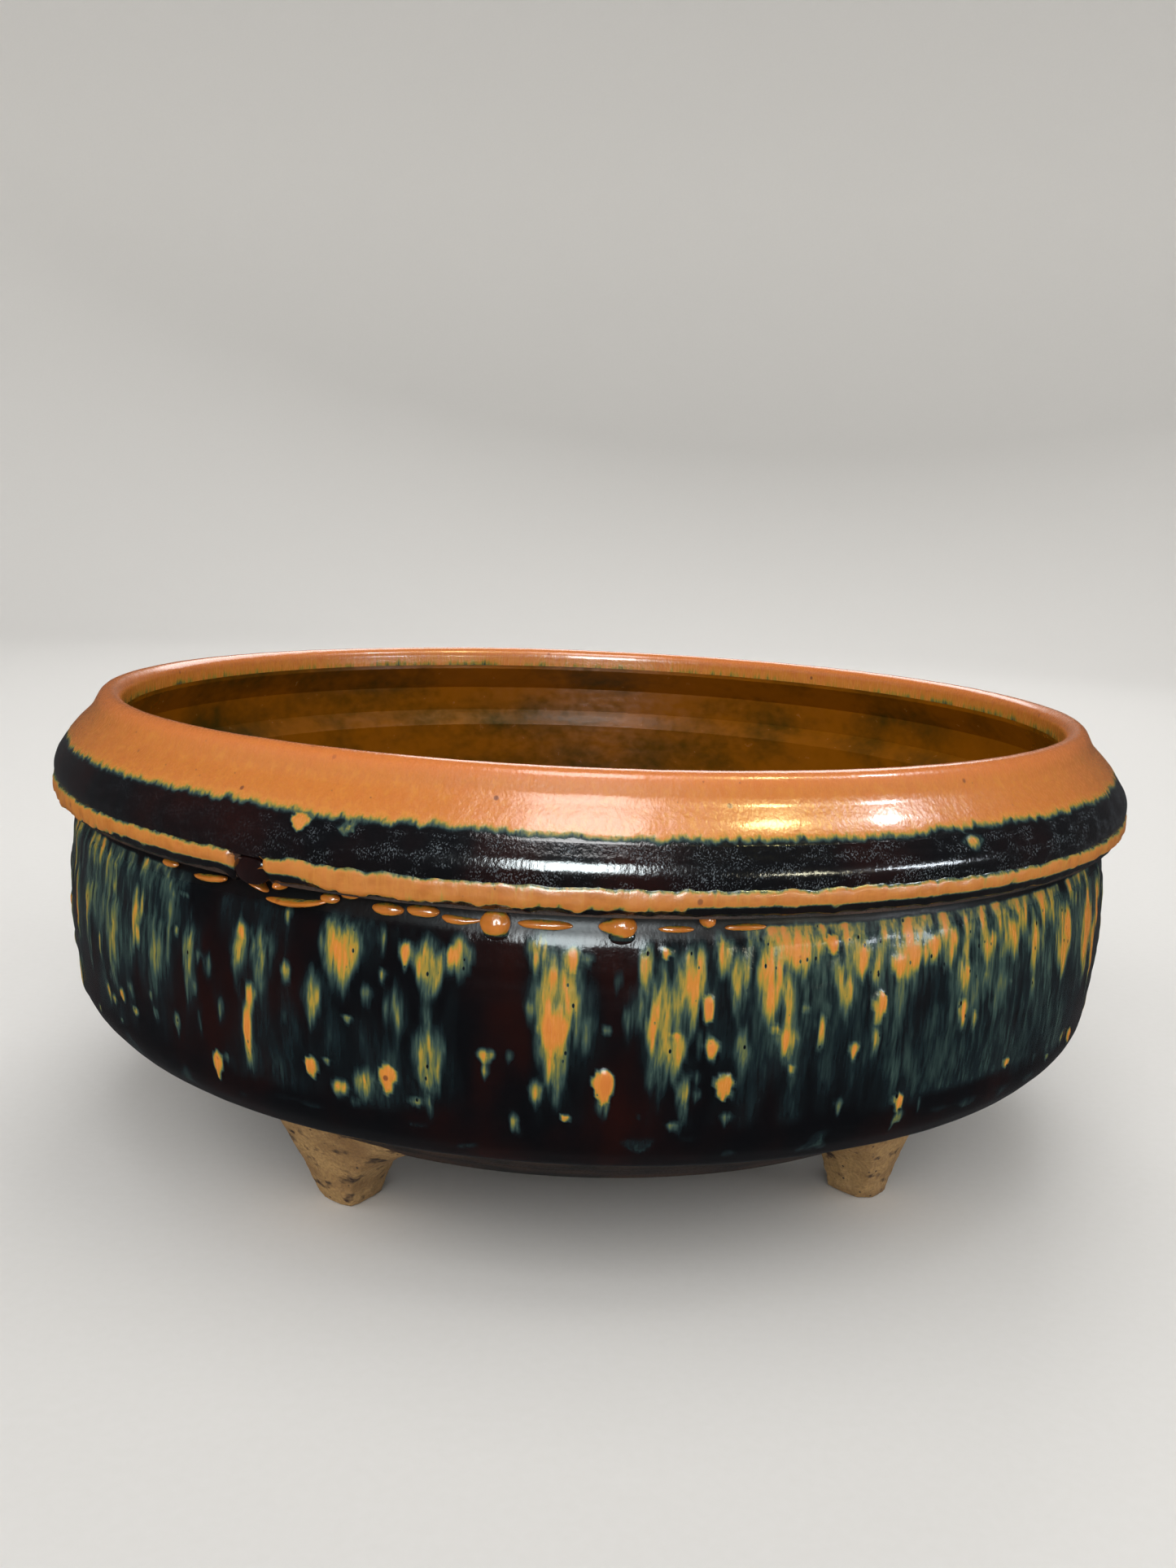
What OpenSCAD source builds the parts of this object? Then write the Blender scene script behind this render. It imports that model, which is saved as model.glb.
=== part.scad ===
// Round bonsai pot in glazed stoneware: a thrown floor, wall and shoulder collar, a clay belt laid round
// under the shoulder, hand-cut feet, and the glaze coats that were poured over them.
// Origin: the middle of the ring of feet, on the surface that the pot stands on. +Z is up.
// The front of the pot, where the two ends of the belt meet, faces -Y.

/* [Overall] */
// Greatest diameter, over the glaze on the shoulder
pot_d = 190; // [150:1:240]
// Height from the foot faces to the top of the lip
pot_h = 75.5; // [63:0.5:95]

/* [Lip and shoulder] */
// How far the outside of the lip is set in from the shoulder's greatest radius
lip_inset = 7; // [5:0.5:12]
// Thickness of the glazed lip
lip_t = 3.8; // [3:0.1:6]
// Height of the upright band under the top of the lip
lip_band = 3.2; // [2.5:0.1:5]
// Slope of the shoulder below the level
shoulder_slope = 45; // [38:1:52]
// Radius of the shoulder's rounded nose
nose_round = 4.5; // [3.5:0.1:6]
// Height of the orange coat's lower edge below the top of the lip
rim_coat_h = 8.1; // [6:0.1:8.5]
// How far the orange coat runs down inside the lip
rim_coat_in = 4; // [3:0.1:4.4]
// Height of the straight throat inside the lip
throat_h = 4.8; // [4.5:0.1:6]
// Depth of the hollow inside the shoulder
shoulder_hollow = 3; // [1.5:0.1:3.5]

/* [Wall] */
// How far the shoulder stands out from the wall
shoulder_out = 3.2; // [2:0.1:5]
// How much the wall swells at half its height
wall_swell = 0.9; // [0:0.1:2]
// Thickness of the clay wall
wall_t = 6; // [5:0.1:8]
// Radius of the rounded lower edge of the wall
heel_round = 8.3; // [5:0.1:10]
// Slope of the undercut below the heel
undercut_slope = 33; // [25:1:40]
// Radius of the cove between the wall and the floor
cove_round = 8; // [4:0.5:12]

/* [Floor] */
// How far the flat base is set in from the greatest radius
base_inset = 25; // [20:0.5:32]
// Thickness of the clay floor
floor_t = 6; // [5:0.1:8]
// Diameter of the drain hole
drain_d = 18; // [10:0.5:26]
// Diameter of the holes for the tie wire
wire_d = 4; // [3:0.1:6]
// How far the circle of wire holes is set in from the edge of the flat base
wire_inset = 22; // [18:1:28]
// How far the glaze is wiped back from the edge of each hole
wipe_back = 1.5; // [0.5:0.1:3]

/* [Belt] */
// Height of the belt's upper edge below the top of the lip
belt_drop = 13.9; // [13.5:0.1:15]
// Width of the belt
belt_w = 3.5; // [3:0.1:4.5]
// Thickness of the clay belt from its seat to its upper edge
belt_t = 1.5; // [1:0.1:2]
// How much thinner the belt is along its lower edge
belt_taper = 0.7; // [0.2:0.1:0.9]
// Turn of the belt's joint from the front, towards the left
belt_joint_turn = 27.5; // [0:0.5:60]
// Opening between the two ends of the belt, measured round the pot
belt_gap = 4.8; // [1:0.1:8]
// Width of the groove under the belt
groove_w = 2.5; // [2:0.1:3.5]
// Depth of the groove in from the wall
groove_depth = 0.8; // [0.4:0.1:1.2]

/* [Lap joints] */
// Depth of the tongue of the collar that goes down inside the wall
tongue_h = 4; // [3:0.1:6]
// Thickness of the tongue
tongue_t = 2.8; // [2:0.1:4]
// Width of the lap between the wall and the edge of the floor
floor_lap = 4; // [3:0.1:6]

/* [Glaze] */
// Thickness of every glaze coat
glaze_t = 0.6; // [0.4:0.05:0.8]
// How far the wall's coat runs on past the heel
glaze_run = 1.5; // [0.5:0.1:3]
// Radius of the hanging drops of glaze
drop_r = 2.2; // [1.5:0.1:2.5]
// Gap left over a frozen run of glaze in the groove
run_gap = 0.5; // [0.2:0.1:0.6]
// How far a frozen run stands out of the groove
run_out = 0.9; // [0.4:0.1:1.2]

/* [Feet] */
// Height of the base above the surface that the pot stands on
foot_h = 12; // [9:0.5:16]
// How far the circle of the feet is set in from the edge of the flat base
foot_inset = 5; // [2:0.5:8]
// Turn of the whole set of feet from the front, towards the right
foot_turn = 6.5; // [-20:0.5:20]
// Angle between the two front feet
foot_pair_angle = 79; // [70:1:90]
// Width of a foot where it stands
foot_tip_w = 8; // [6:0.5:12]
// Length of a foot along the radius where it stands
foot_tip_l = 8.5; // [6:0.5:12]
// Width that a foot spreads to over the height of the base
foot_root_w = 17; // [14:0.5:20]
// Slope of the outer face of a foot from the upright
foot_lean = 26; // [15:1:30]

/* [Hidden] */
$fn = 96;
arc_steps = 8;
wire_holes = 4;
through = 1; // how far a cutter runs past the face that it goes through
drop_shy = 0.1; // how far inside the greatest radius the hanging drops stay

// Turns of the glaze drops and of the frozen runs from the front, towards the right
drop_turns = [-6.8, 2.3];
run_turns = [-15.9, -12.7, -9.8, -3.6];
run_angle = 2.2;

// Colours
clay = "tan";
orange = "peru";
tenmoku = [0.08, 0.06, 0.07];
hares_fur = "darkslategray";
amber = [0.45, 0.28, 0.08];

// Radii, from the greatest radius inwards
pot_r = pot_d / 2;
lip_r = pot_r - lip_inset;
crest_r = lip_r - lip_t / 2;
throat_r = lip_r - lip_t;
wall_r = pot_r - shoulder_out;
groove_r = wall_r - groove_depth;
nose_r = pot_r - nose_round;
base_r = pot_r - base_inset;
foot_circle_r = base_r - foot_inset;
wire_circle_r = base_r - wire_inset;
inside_r = wall_r - glaze_t - wall_t - glaze_t;
tongue_r = inside_r + glaze_t + tongue_t;

// Heights
crest_z = pot_h - lip_t / 2;
band_z = pot_h - lip_band;
throat_z = pot_h - throat_h;
coat_in_z = pot_h - rim_coat_in;
coat_out_z = pot_h - rim_coat_h;
belt_top_z = pot_h - belt_drop;
belt_low_z = belt_top_z - belt_w;
groove_z = belt_low_z - groove_w;
sill_z = groove_z + groove_depth;
joint_z = belt_low_z - groove_w / 2;
tongue_z = joint_z - tongue_h;
floor_z = foot_h + floor_t;
lap_z = foot_h + floor_t / 2;
undercut = tan(undercut_slope);
heel_z = foot_h + (wall_r - heel_round - base_r) * undercut
    + (heel_round - glaze_t) / cos(undercut_slope);

// The nose is tangent to the slope of the shoulder, which starts at the foot of the upright band
slope_end_r = nose_r + nose_round * sin(shoulder_slope);
slope_end_z = band_z - (slope_end_r - lip_r) * tan(shoulder_slope);
nose_z = slope_end_z - nose_round * cos(shoulder_slope);
nose_end = asin((belt_top_z - nose_z) / nose_round);

// The belt lies in a seat that is cut back from the collar's clay
belt_top_r = nose_r + (nose_round - glaze_t) * cos(nose_end);
belt_low_r = belt_top_r - belt_taper;
belt_seat_r = belt_top_r - belt_t;
lap_r = undercut_r(lap_z);
lap_seat_r = lap_r - floor_lap;

function undercut_r(z) = base_r + (z - foot_h) / undercut;

// Points of an arc, from one angle to another
function arc(centre, radius, from, to) = [
    for (i = [0 : arc_steps])
        let (a = from + (to - from) * i / arc_steps)
        centre + radius * [cos(a), sin(a)]
];

// An open outline moved to its right by a distance, with mitred corners
function unit(v) = v / norm(v);
function right_of(v) = [v[1], -v[0]];
function mitred(p, i, by) =
    let (
        before = right_of(unit(i > 0 ? p[i] - p[i - 1] : p[1] - p[0])),
        after = i < len(p) - 1 ? right_of(unit(p[i + 1] - p[i])) : before,
        both = before + after
    )
    p[i] + by * both * 2 / (both * both);
function beside(p, by) = [for (i = [0 : len(p) - 1]) mitred(p, i, by)];
function reversed(p) = [for (i = [len(p) - 1 : -1 : 0]) p[i]];

// The glazed surface, followed from the middle of the floor, up inside, over the lip and down outside:
// the clay is always to the right
hollow_z = (nose_z + joint_z) / 2;
lower_inside = concat(
    arc([inside_r - cove_round, floor_z + glaze_t + cove_round], cove_round, -90, 0),
    [[inside_r, tongue_z]]
);
upper_inside = [
    [inside_r, tongue_z],
    [inside_r, joint_z],
    [inside_r + shoulder_hollow, hollow_z],
    [inside_r + shoulder_hollow, nose_z + nose_round / 2],
    [throat_r, throat_z],
    [throat_r, coat_in_z]
];
rim_path = concat(
    [[throat_r, coat_in_z]],
    arc([crest_r, crest_z], lip_t / 2, 180, 0),
    [[lip_r, band_z], [lip_r + (band_z - coat_out_z) / tan(shoulder_slope), coat_out_z]]
);
shoulder_path = concat(
    [[lip_r + (band_z - coat_out_z) / tan(shoulder_slope), coat_out_z]],
    arc([nose_r, nose_z], nose_round, 90 - shoulder_slope, nose_end)
);
wall_path = concat(
    [[groove_r, belt_low_z], [groove_r, sill_z]],
    [
        for (i = [arc_steps : -1 : 1])
            let (up = i / arc_steps)
            [wall_r + wall_swell * sin(180 * up), heel_z + (groove_z - heel_z) * up]
    ],
    arc([wall_r - heel_round, heel_z], heel_round, 0, undercut_slope - 90),
    [
        [wall_r - heel_round, heel_z]
            + heel_round * [sin(undercut_slope), -cos(undercut_slope)]
            - glaze_run * [cos(undercut_slope), sin(undercut_slope)]
    ]
);

// A solid turned from an outline in radius and height
module turned(outline) {
    rotate_extrude() polygon(outline);
}

// A coat of glaze on its clay, along a path of the glazed surface
module coat(path) {
    turned(concat(path, reversed(beside(path, glaze_t))));
}

// What lies at a turn from the front, towards the right, starting from +X
module at_turn(turn) {
    rotate([0, 0, turn - 90]) children();
}

// The drain hole and the wire holes, widened by the same amount
module floor_holes(widened) {
    height = floor_z + glaze_t + 2 * through - foot_h;
    translate([0, 0, foot_h - through]) {
        cylinder(h = height, r = drain_d / 2 + widened);
        for (i = [0 : wire_holes - 1])
            rotate([0, 0, 360 / wire_holes * (i + 0.5)])
                translate([wire_circle_r, 0, 0])
                    cylinder(h = height, r = wire_d / 2 + widened);
    }
}

module floor_slab() {
    color(clay)
        difference() {
            turned([
                [0, foot_h], [base_r, foot_h], [lap_r, lap_z],
                [lap_seat_r, lap_z], [lap_seat_r, floor_z], [0, floor_z]
            ]);
            floor_holes(0);
        }
}

module wall() {
    clay_outside = beside(wall_path, glaze_t);
    color(clay)
        turned(concat(
            [[lap_seat_r, floor_z]],
            beside(lower_inside, glaze_t),
            [[tongue_r, tongue_z], [tongue_r, joint_z], [groove_r - glaze_t, joint_z]],
            [for (i = [1 : len(clay_outside) - 1]) clay_outside[i]],
            [[lap_r, lap_z], [lap_seat_r, lap_z]]
        ));
}

module shoulder_collar() {
    clay_shoulder = beside(shoulder_path, glaze_t);
    clay_inside = beside(upper_inside, glaze_t);
    color(clay)
        turned(concat(
            [for (i = [0 : len(clay_inside) - 2]) clay_inside[i]],
            beside(rim_path, glaze_t),
            [for (i = [1 : len(clay_shoulder) - 1]) clay_shoulder[i]],
            [
                [belt_seat_r, belt_top_z], [belt_seat_r, belt_low_z],
                [groove_r - glaze_t, belt_low_z], [groove_r - glaze_t, joint_z],
                [tongue_r, joint_z], [tongue_r, tongue_z]
            ]
        ));
}

// A ring with the belt's opening in it
module belted(outline) {
    opening = belt_gap / (2 * PI * belt_top_r) * 360;
    rotate([0, 0, -90 - belt_joint_turn + opening / 2])
        rotate_extrude(angle = 360 - opening) polygon(outline);
}

module belt_strip() {
    color(clay)
        belted([
            [belt_seat_r, belt_low_z], [belt_low_r, belt_low_z],
            [belt_top_r, belt_top_z], [belt_seat_r, belt_top_z]
        ]);
}

module belt_glaze() {
    color(orange)
        belted([
            [belt_low_r, belt_low_z], [belt_low_r + glaze_t, belt_low_z],
            [belt_top_r + glaze_t, belt_top_z - glaze_t], [belt_top_r, belt_top_z]
        ]);
}

module rim_glaze() {
    color(orange) coat(rim_path);
}

module shoulder_glaze() {
    color(tenmoku) coat(shoulder_path);
}

module wall_glaze() {
    color(hares_fur) coat(wall_path);
}

module interior_glaze() {
    lining = concat(lower_inside, [for (i = [1 : len(upper_inside) - 1]) upper_inside[i]]);
    color(amber)
        difference() {
            turned(concat(
                [[0, floor_z + glaze_t]], lining, reversed(beside(lining, glaze_t)), [[0, floor_z]]
            ));
            floor_holes(wipe_back);
        }
}

// Drops that hang from the belt over the groove, and short frozen runs in the groove
module glaze_beads() {
    drop_z = (belt_low_z + groove_z) / 2;
    color(orange) {
        difference() {
            for (turn = drop_turns)
                at_turn(turn)
                    translate([pot_r - drop_shy - drop_r, 0, drop_z]) sphere(r = drop_r);
            turned(concat(
                [
                    [0, belt_top_z], [belt_top_r, belt_top_z],
                    [belt_top_r + glaze_t, belt_top_z - glaze_t], [belt_low_r + glaze_t, belt_low_z]
                ],
                wall_path,
                [[0, foot_h]]
            ));
        }
        for (turn = run_turns)
            rotate([0, 0, turn - 90 - run_angle / 2])
                rotate_extrude(angle = run_angle)
                    translate([groove_r, sill_z])
                        square([run_out, belt_low_z - run_gap - sill_z]);
    }
}

// A foot: two tapered outlines crossed, and cut to the underside that it is luted to
module foot(turn) {
    root_z = foot_h + foot_tip_l;
    spread = (foot_root_w - foot_tip_w) / 2 * root_z / foot_h;
    lean = root_z * tan(foot_lean);
    reach = 4 * (foot_root_w + foot_h);
    color(clay)
        at_turn(turn)
            difference() {
                translate([foot_circle_r, 0, 0])
                    intersection() {
                        rotate([90, 0, 90])
                            linear_extrude(height = reach, center = true)
                                polygon([
                                    [-foot_tip_w / 2, 0], [foot_tip_w / 2, 0],
                                    [foot_tip_w / 2 + spread, root_z], [-foot_tip_w / 2 - spread, root_z]
                                ]);
                        rotate([90, 0, 0])
                            linear_extrude(height = reach, center = true)
                                polygon([
                                    [-foot_tip_l / 2, 0], [foot_tip_l / 2, 0],
                                    [foot_tip_l / 2 + lean, root_z], [-foot_tip_l / 2 - lean / 3, root_z]
                                ]);
                    }
                turned([
                    [0, foot_h], [base_r, foot_h], [undercut_r(root_z + foot_h), root_z + foot_h],
                    [0, root_z + foot_h]
                ]);
            }
}

module foot_front_left() { foot(foot_turn - foot_pair_angle / 2); }
module foot_front_right() { foot(foot_turn + foot_pair_angle / 2); }
module foot_rear_left() { foot(foot_turn + foot_pair_angle / 2 + 180); }
module foot_rear_right() { foot(foot_turn - foot_pair_angle / 2 + 180); }

floor_slab();
wall();
shoulder_collar();
belt_strip();
foot_front_left();
foot_front_right();
foot_rear_left();
foot_rear_right();
rim_glaze();
shoulder_glaze();
belt_glaze();
wall_glaze();
interior_glaze();
glaze_beads();
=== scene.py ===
"""Looks of a round bonsai pot in glazed stoneware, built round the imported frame.

The clay bodies of the frame stay as they are and get a thrown clay finish. The glaze coats, the belt's
ragged coat, the hanging drops and the four hand-cut feet are modelled here with the relief of fired glaze.
Sizes are in millimetres and turns in degrees from the front of the pot, positive towards the right.
"""
import logging
import math
import random
from dataclasses import dataclass
from enum import Enum
from typing import Dict, List, Optional, Sequence, Tuple, Union

import bmesh
import bpy
from mathutils import Matrix, Vector, noise


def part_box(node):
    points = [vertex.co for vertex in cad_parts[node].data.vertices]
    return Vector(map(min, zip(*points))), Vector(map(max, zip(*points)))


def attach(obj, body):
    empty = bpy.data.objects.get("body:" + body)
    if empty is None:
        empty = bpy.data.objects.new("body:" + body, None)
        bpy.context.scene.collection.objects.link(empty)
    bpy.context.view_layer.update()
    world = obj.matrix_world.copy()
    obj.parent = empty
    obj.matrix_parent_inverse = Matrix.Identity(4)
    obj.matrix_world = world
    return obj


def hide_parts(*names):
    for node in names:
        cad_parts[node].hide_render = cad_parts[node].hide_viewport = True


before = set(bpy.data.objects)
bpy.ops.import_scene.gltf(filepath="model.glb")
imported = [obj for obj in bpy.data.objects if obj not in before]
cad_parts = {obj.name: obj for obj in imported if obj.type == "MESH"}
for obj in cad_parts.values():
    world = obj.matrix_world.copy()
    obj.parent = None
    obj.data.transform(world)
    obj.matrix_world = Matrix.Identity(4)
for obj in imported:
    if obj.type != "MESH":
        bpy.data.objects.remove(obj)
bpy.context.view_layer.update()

LOG = logging.getLogger("bonsai_pot")
MM = 0.001
SKIN_R = 92.0  # about the radius of the outer glaze, which turns a length round the pot into a turn
FULL_TURN = 360.0
# heights in metres between which the groove's glaze turns rougher, and the lip's paler
GROOVE_BAND = (0.0543, 0.0556)
LIP_BAND = (0.0732, 0.075)

Point = Tuple[float, float]
Colour = Tuple[float, float, float]
Socket = bpy.types.NodeSocket
Plug = Union[Socket, float, Sequence[float]]


def clamp(value: float, low: float = 0.0, high: float = 1.0) -> float:
    """Return value held between low and high."""
    return max(low, min(high, value))


def ease(low: float, high: float, value: float) -> float:
    """Return 0 at low and 1 at high with a smooth step between, whichever of the two is greater."""
    t = clamp((value - low) / (high - low))
    return t * t * (3 - 2 * t)


def srgb(red: int, green: int, blue: int) -> Colour:
    """Return the linear colour of three display values.

    Args:
        red: the red value, from 0 to 255.
        green: the green value.
        blue: the blue value.

    Returns:
        The colour.
    """
    def linear(part: int) -> float:
        """Return one linear channel."""
        c = part / 255
        return c / 12.92 if c <= 0.04045 else ((c + 0.055) / 1.055) ** 2.4
    return linear(red), linear(green), linear(blue)


def at(turn: float, radius: float, height: float) -> Vector:
    """Return the point at a turn, radius and height, in millimetres."""
    a = math.radians(turn)
    return Vector((radius * math.sin(a), -radius * math.cos(a), height))


def turn_of(point: Vector) -> float:
    """Return the turn of a point from the front of the pot, between -180 and 180."""
    return math.degrees(math.atan2(point.x, -point.y))


def apart(turn: float, other: float) -> float:
    """Return the signed turn from other to turn, the short way round."""
    return (turn - other + FULL_TURN / 2) % FULL_TURN - FULL_TURN / 2


def wander(turn: float, height: float, across: float, along: float, salt: float) -> float:
    """Return smooth noise on the pot's surface, about -1 to 1.

    Args:
        turn: place round the pot.
        height: place up the pot.
        across: size of the noise round the pot.
        along: size of the noise up the pot.
        salt: a number that makes this noise differ from the others.

    Returns:
        The noise at that place. It has no seam.
    """
    p = at(turn, SKIN_R / across, height / along + salt)
    return noise.noise(p)


def arc(centre: Point, radius: float, start: float, end: float, steps: int = 12) -> List[Point]:
    """Return points of an arc from one angle to another, in degrees."""
    angles = [math.radians(start + (end - start) * i / steps) for i in range(steps + 1)]
    return [(centre[0] + radius * math.cos(a), centre[1] + radius * math.sin(a)) for a in angles]


def respaced(path: Sequence[Point], spacing: float) -> List[Point]:
    """Return a path's points spaced evenly along it.

    Args:
        path: the points of an open line.
        spacing: about how far apart the new points are.

    Returns:
        The new points, with the same ends.
    """
    lengths = [math.dist(a, b) for a, b in zip(path, path[1:])]
    total = sum(lengths)
    count = max(2, round(total / spacing))
    points, index, done = [], 0, 0.0
    for i in range(count + 1):
        want = total * i / count
        while index < len(lengths) - 1 and done + lengths[index] < want:
            done += lengths[index]
            index += 1
        share = clamp((want - done) / lengths[index])
        a, b = path[index], path[index + 1]
        points.append((a[0] + (b[0] - a[0]) * share, a[1] + (b[1] - a[1]) * share))
    return points


def outward(path: Sequence[Point]) -> List[Point]:
    """Return the unit normals on the left of a path, the side away from the clay.

    Args:
        path: the points of an open line.

    Returns:
        One normal for each point.
    """
    normals = []
    for i in range(len(path)):
        a, b = path[max(0, i - 1)], path[min(len(path) - 1, i + 1)]
        length = math.dist(a, b)
        normals.append((-(b[1] - a[1]) / length, (b[0] - a[0]) / length))
    return normals


@dataclass(frozen=True)
class PotSizes:
    """The pot's main sizes, the outer ones read from the frame."""

    pot_r: float
    pot_h: float
    belt_low: float
    belt_top: float
    base_r: float = 70.0
    lip_inset: float = 7.0
    lip_t: float = 3.8
    band_h: float = 3.2
    nose_round: float = 4.5
    coat_h: float = 8.1
    coat_in: float = 4.0
    wall_inset: float = 3.2
    swell: float = 0.9
    heel_round: float = 8.3
    heel_z: float = 29.95
    undercut: float = 33.0
    groove_w: float = 2.5
    groove_depth: float = 0.8
    crease: float = 0.38
    glaze_run: float = 2.6

    @classmethod
    def from_frame(cls) -> "PotSizes":
        """Read the outer sizes from the frame's nodes.

        Returns:
            The sizes.
        """
        shoulder, rim, belt = (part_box(name) for name in ("shoulder_glaze", "rim_glaze", "belt_glaze"))
        return cls(
            pot_r=shoulder[1].x / MM, pot_h=rim[1].z / MM, belt_low=belt[0].z / MM, belt_top=belt[1].z / MM)

    @property
    def nose(self) -> Point:
        """Centre of the shoulder's rounded nose.

        Returns:
            Its radius and its height.
        """
        r = self.pot_r - self.nose_round
        slope_r = r + self.nose_round * math.sqrt(0.5)
        slope_z = self.pot_h - self.band_h - (slope_r - self.lip_r)
        return r, slope_z - self.nose_round * math.sqrt(0.5)

    @property
    def lip_r(self) -> float:
        """Outer radius of the lip."""
        return self.pot_r - self.lip_inset

    @property
    def wall_r(self) -> float:
        """Radius of the glazed wall at its top."""
        return self.pot_r - self.wall_inset

    @property
    def sill_z(self) -> float:
        """Height of the wall's top, under the groove."""
        return self.belt_low - self.groove_w

    @property
    def coat_z(self) -> float:
        """Height at which the orange coat meets the black one."""
        return self.pot_h - self.coat_h

    def coat_point(self) -> Point:
        """Return where the orange coat meets the black one on the slope."""
        return self.lip_r + self.pot_h - self.band_h - self.coat_z + self.crease, self.coat_z

    def rim_path(self) -> List[Point]:
        """Return the glazed line of the rim.

        Returns:
            Its points, from inside the throat, over the lip and down the slope.
        """
        throat_r = self.lip_r - self.lip_t
        crest = (self.lip_r - self.lip_t / 2, self.pot_h - self.lip_t / 2)
        flank = [(self.lip_r + out, self.pot_h - down) for out, down in (
            (0.3, 2.0), (0.78, 3.0), (1.4, 3.8), (2.2, 4.55), (3.1, 5.45), (3.95, 6.4), (4.7, 7.3))]
        return [(throat_r, self.pot_h - self.coat_in)] + arc(crest, self.lip_t / 2, 180, 30) + flank + [
            self.coat_point()]

    def shoulder_path(self) -> List[Point]:
        """Return the glazed line from the slope round the nose to the belt."""
        end = math.degrees(math.asin((self.belt_top - self.nose[1]) / self.nose_round))
        return [self.coat_point()] + arc(self.nose, self.nose_round, 37, end, 16)

    def wall_path(self) -> List[Point]:
        """Return the glazed line of the wall.

        Returns:
            Its points, from the groove down the wall and round the heel.
        """
        groove_r = self.wall_r - self.groove_depth
        centre = (self.wall_r - self.heel_round, self.heel_z)
        rise = self.sill_z - self.heel_z
        side = [
            (self.wall_r + self.swell * math.sin(math.pi * i / 16), self.heel_z + rise * i / 16)
            for i in range(16, 0, -1)]
        heel = arc(centre, self.heel_round, 0, self.undercut - 90)
        a = math.radians(self.undercut)
        end = (heel[-1][0] - self.glaze_run * math.cos(a), heel[-1][1] - self.glaze_run * math.sin(a))
        corner = [(groove_r + out, self.sill_z + up) for out, up in (
            (0.0, 1.5), (0.04, 1.0), (0.14, 0.6), (0.3, 0.2), (0.52, -0.3))]
        side = [p for p in side if p[1] < self.sill_z - 0.8]
        return [(groove_r, self.belt_low)] + corner + side + heel + [end]


@dataclass(frozen=True)
class Flare:
    """A place where orange glaze melted and ran in the dark coat."""

    turn: float
    height: float
    width: float
    length: float
    heat: float = 1.0
    raised: float = 0.1

    def reach(self) -> float:
        """Return the turn that the flare spreads to on each side."""
        return math.degrees(self.width * 1.25 / SKIN_R)

    def at(self, turn: float, height: float) -> float:
        """Return how hot the flare is at a place.

        Args:
            turn: place round the pot.
            height: place up the pot.

        Returns:
            0 outside the flare and 1 in its middle, with a soft halo unless it is raised.
        """
        side = math.radians(apart(turn, self.turn)) * SKIN_R
        drop = self.height - height
        half = self.length * (0.62 if drop > 0 else 0.38)
        along = drop / half
        across = side / (self.width / 2 * (1 - 0.45 * clamp(along)))
        square = along * along + across * across
        if self.raised >= 0.2:
            return max(0.0, 1 - square) ** 0.45
        return clamp(1.2 - 0.7 * math.sqrt(along * along / 1.3 + across * across / 2.1))


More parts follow.
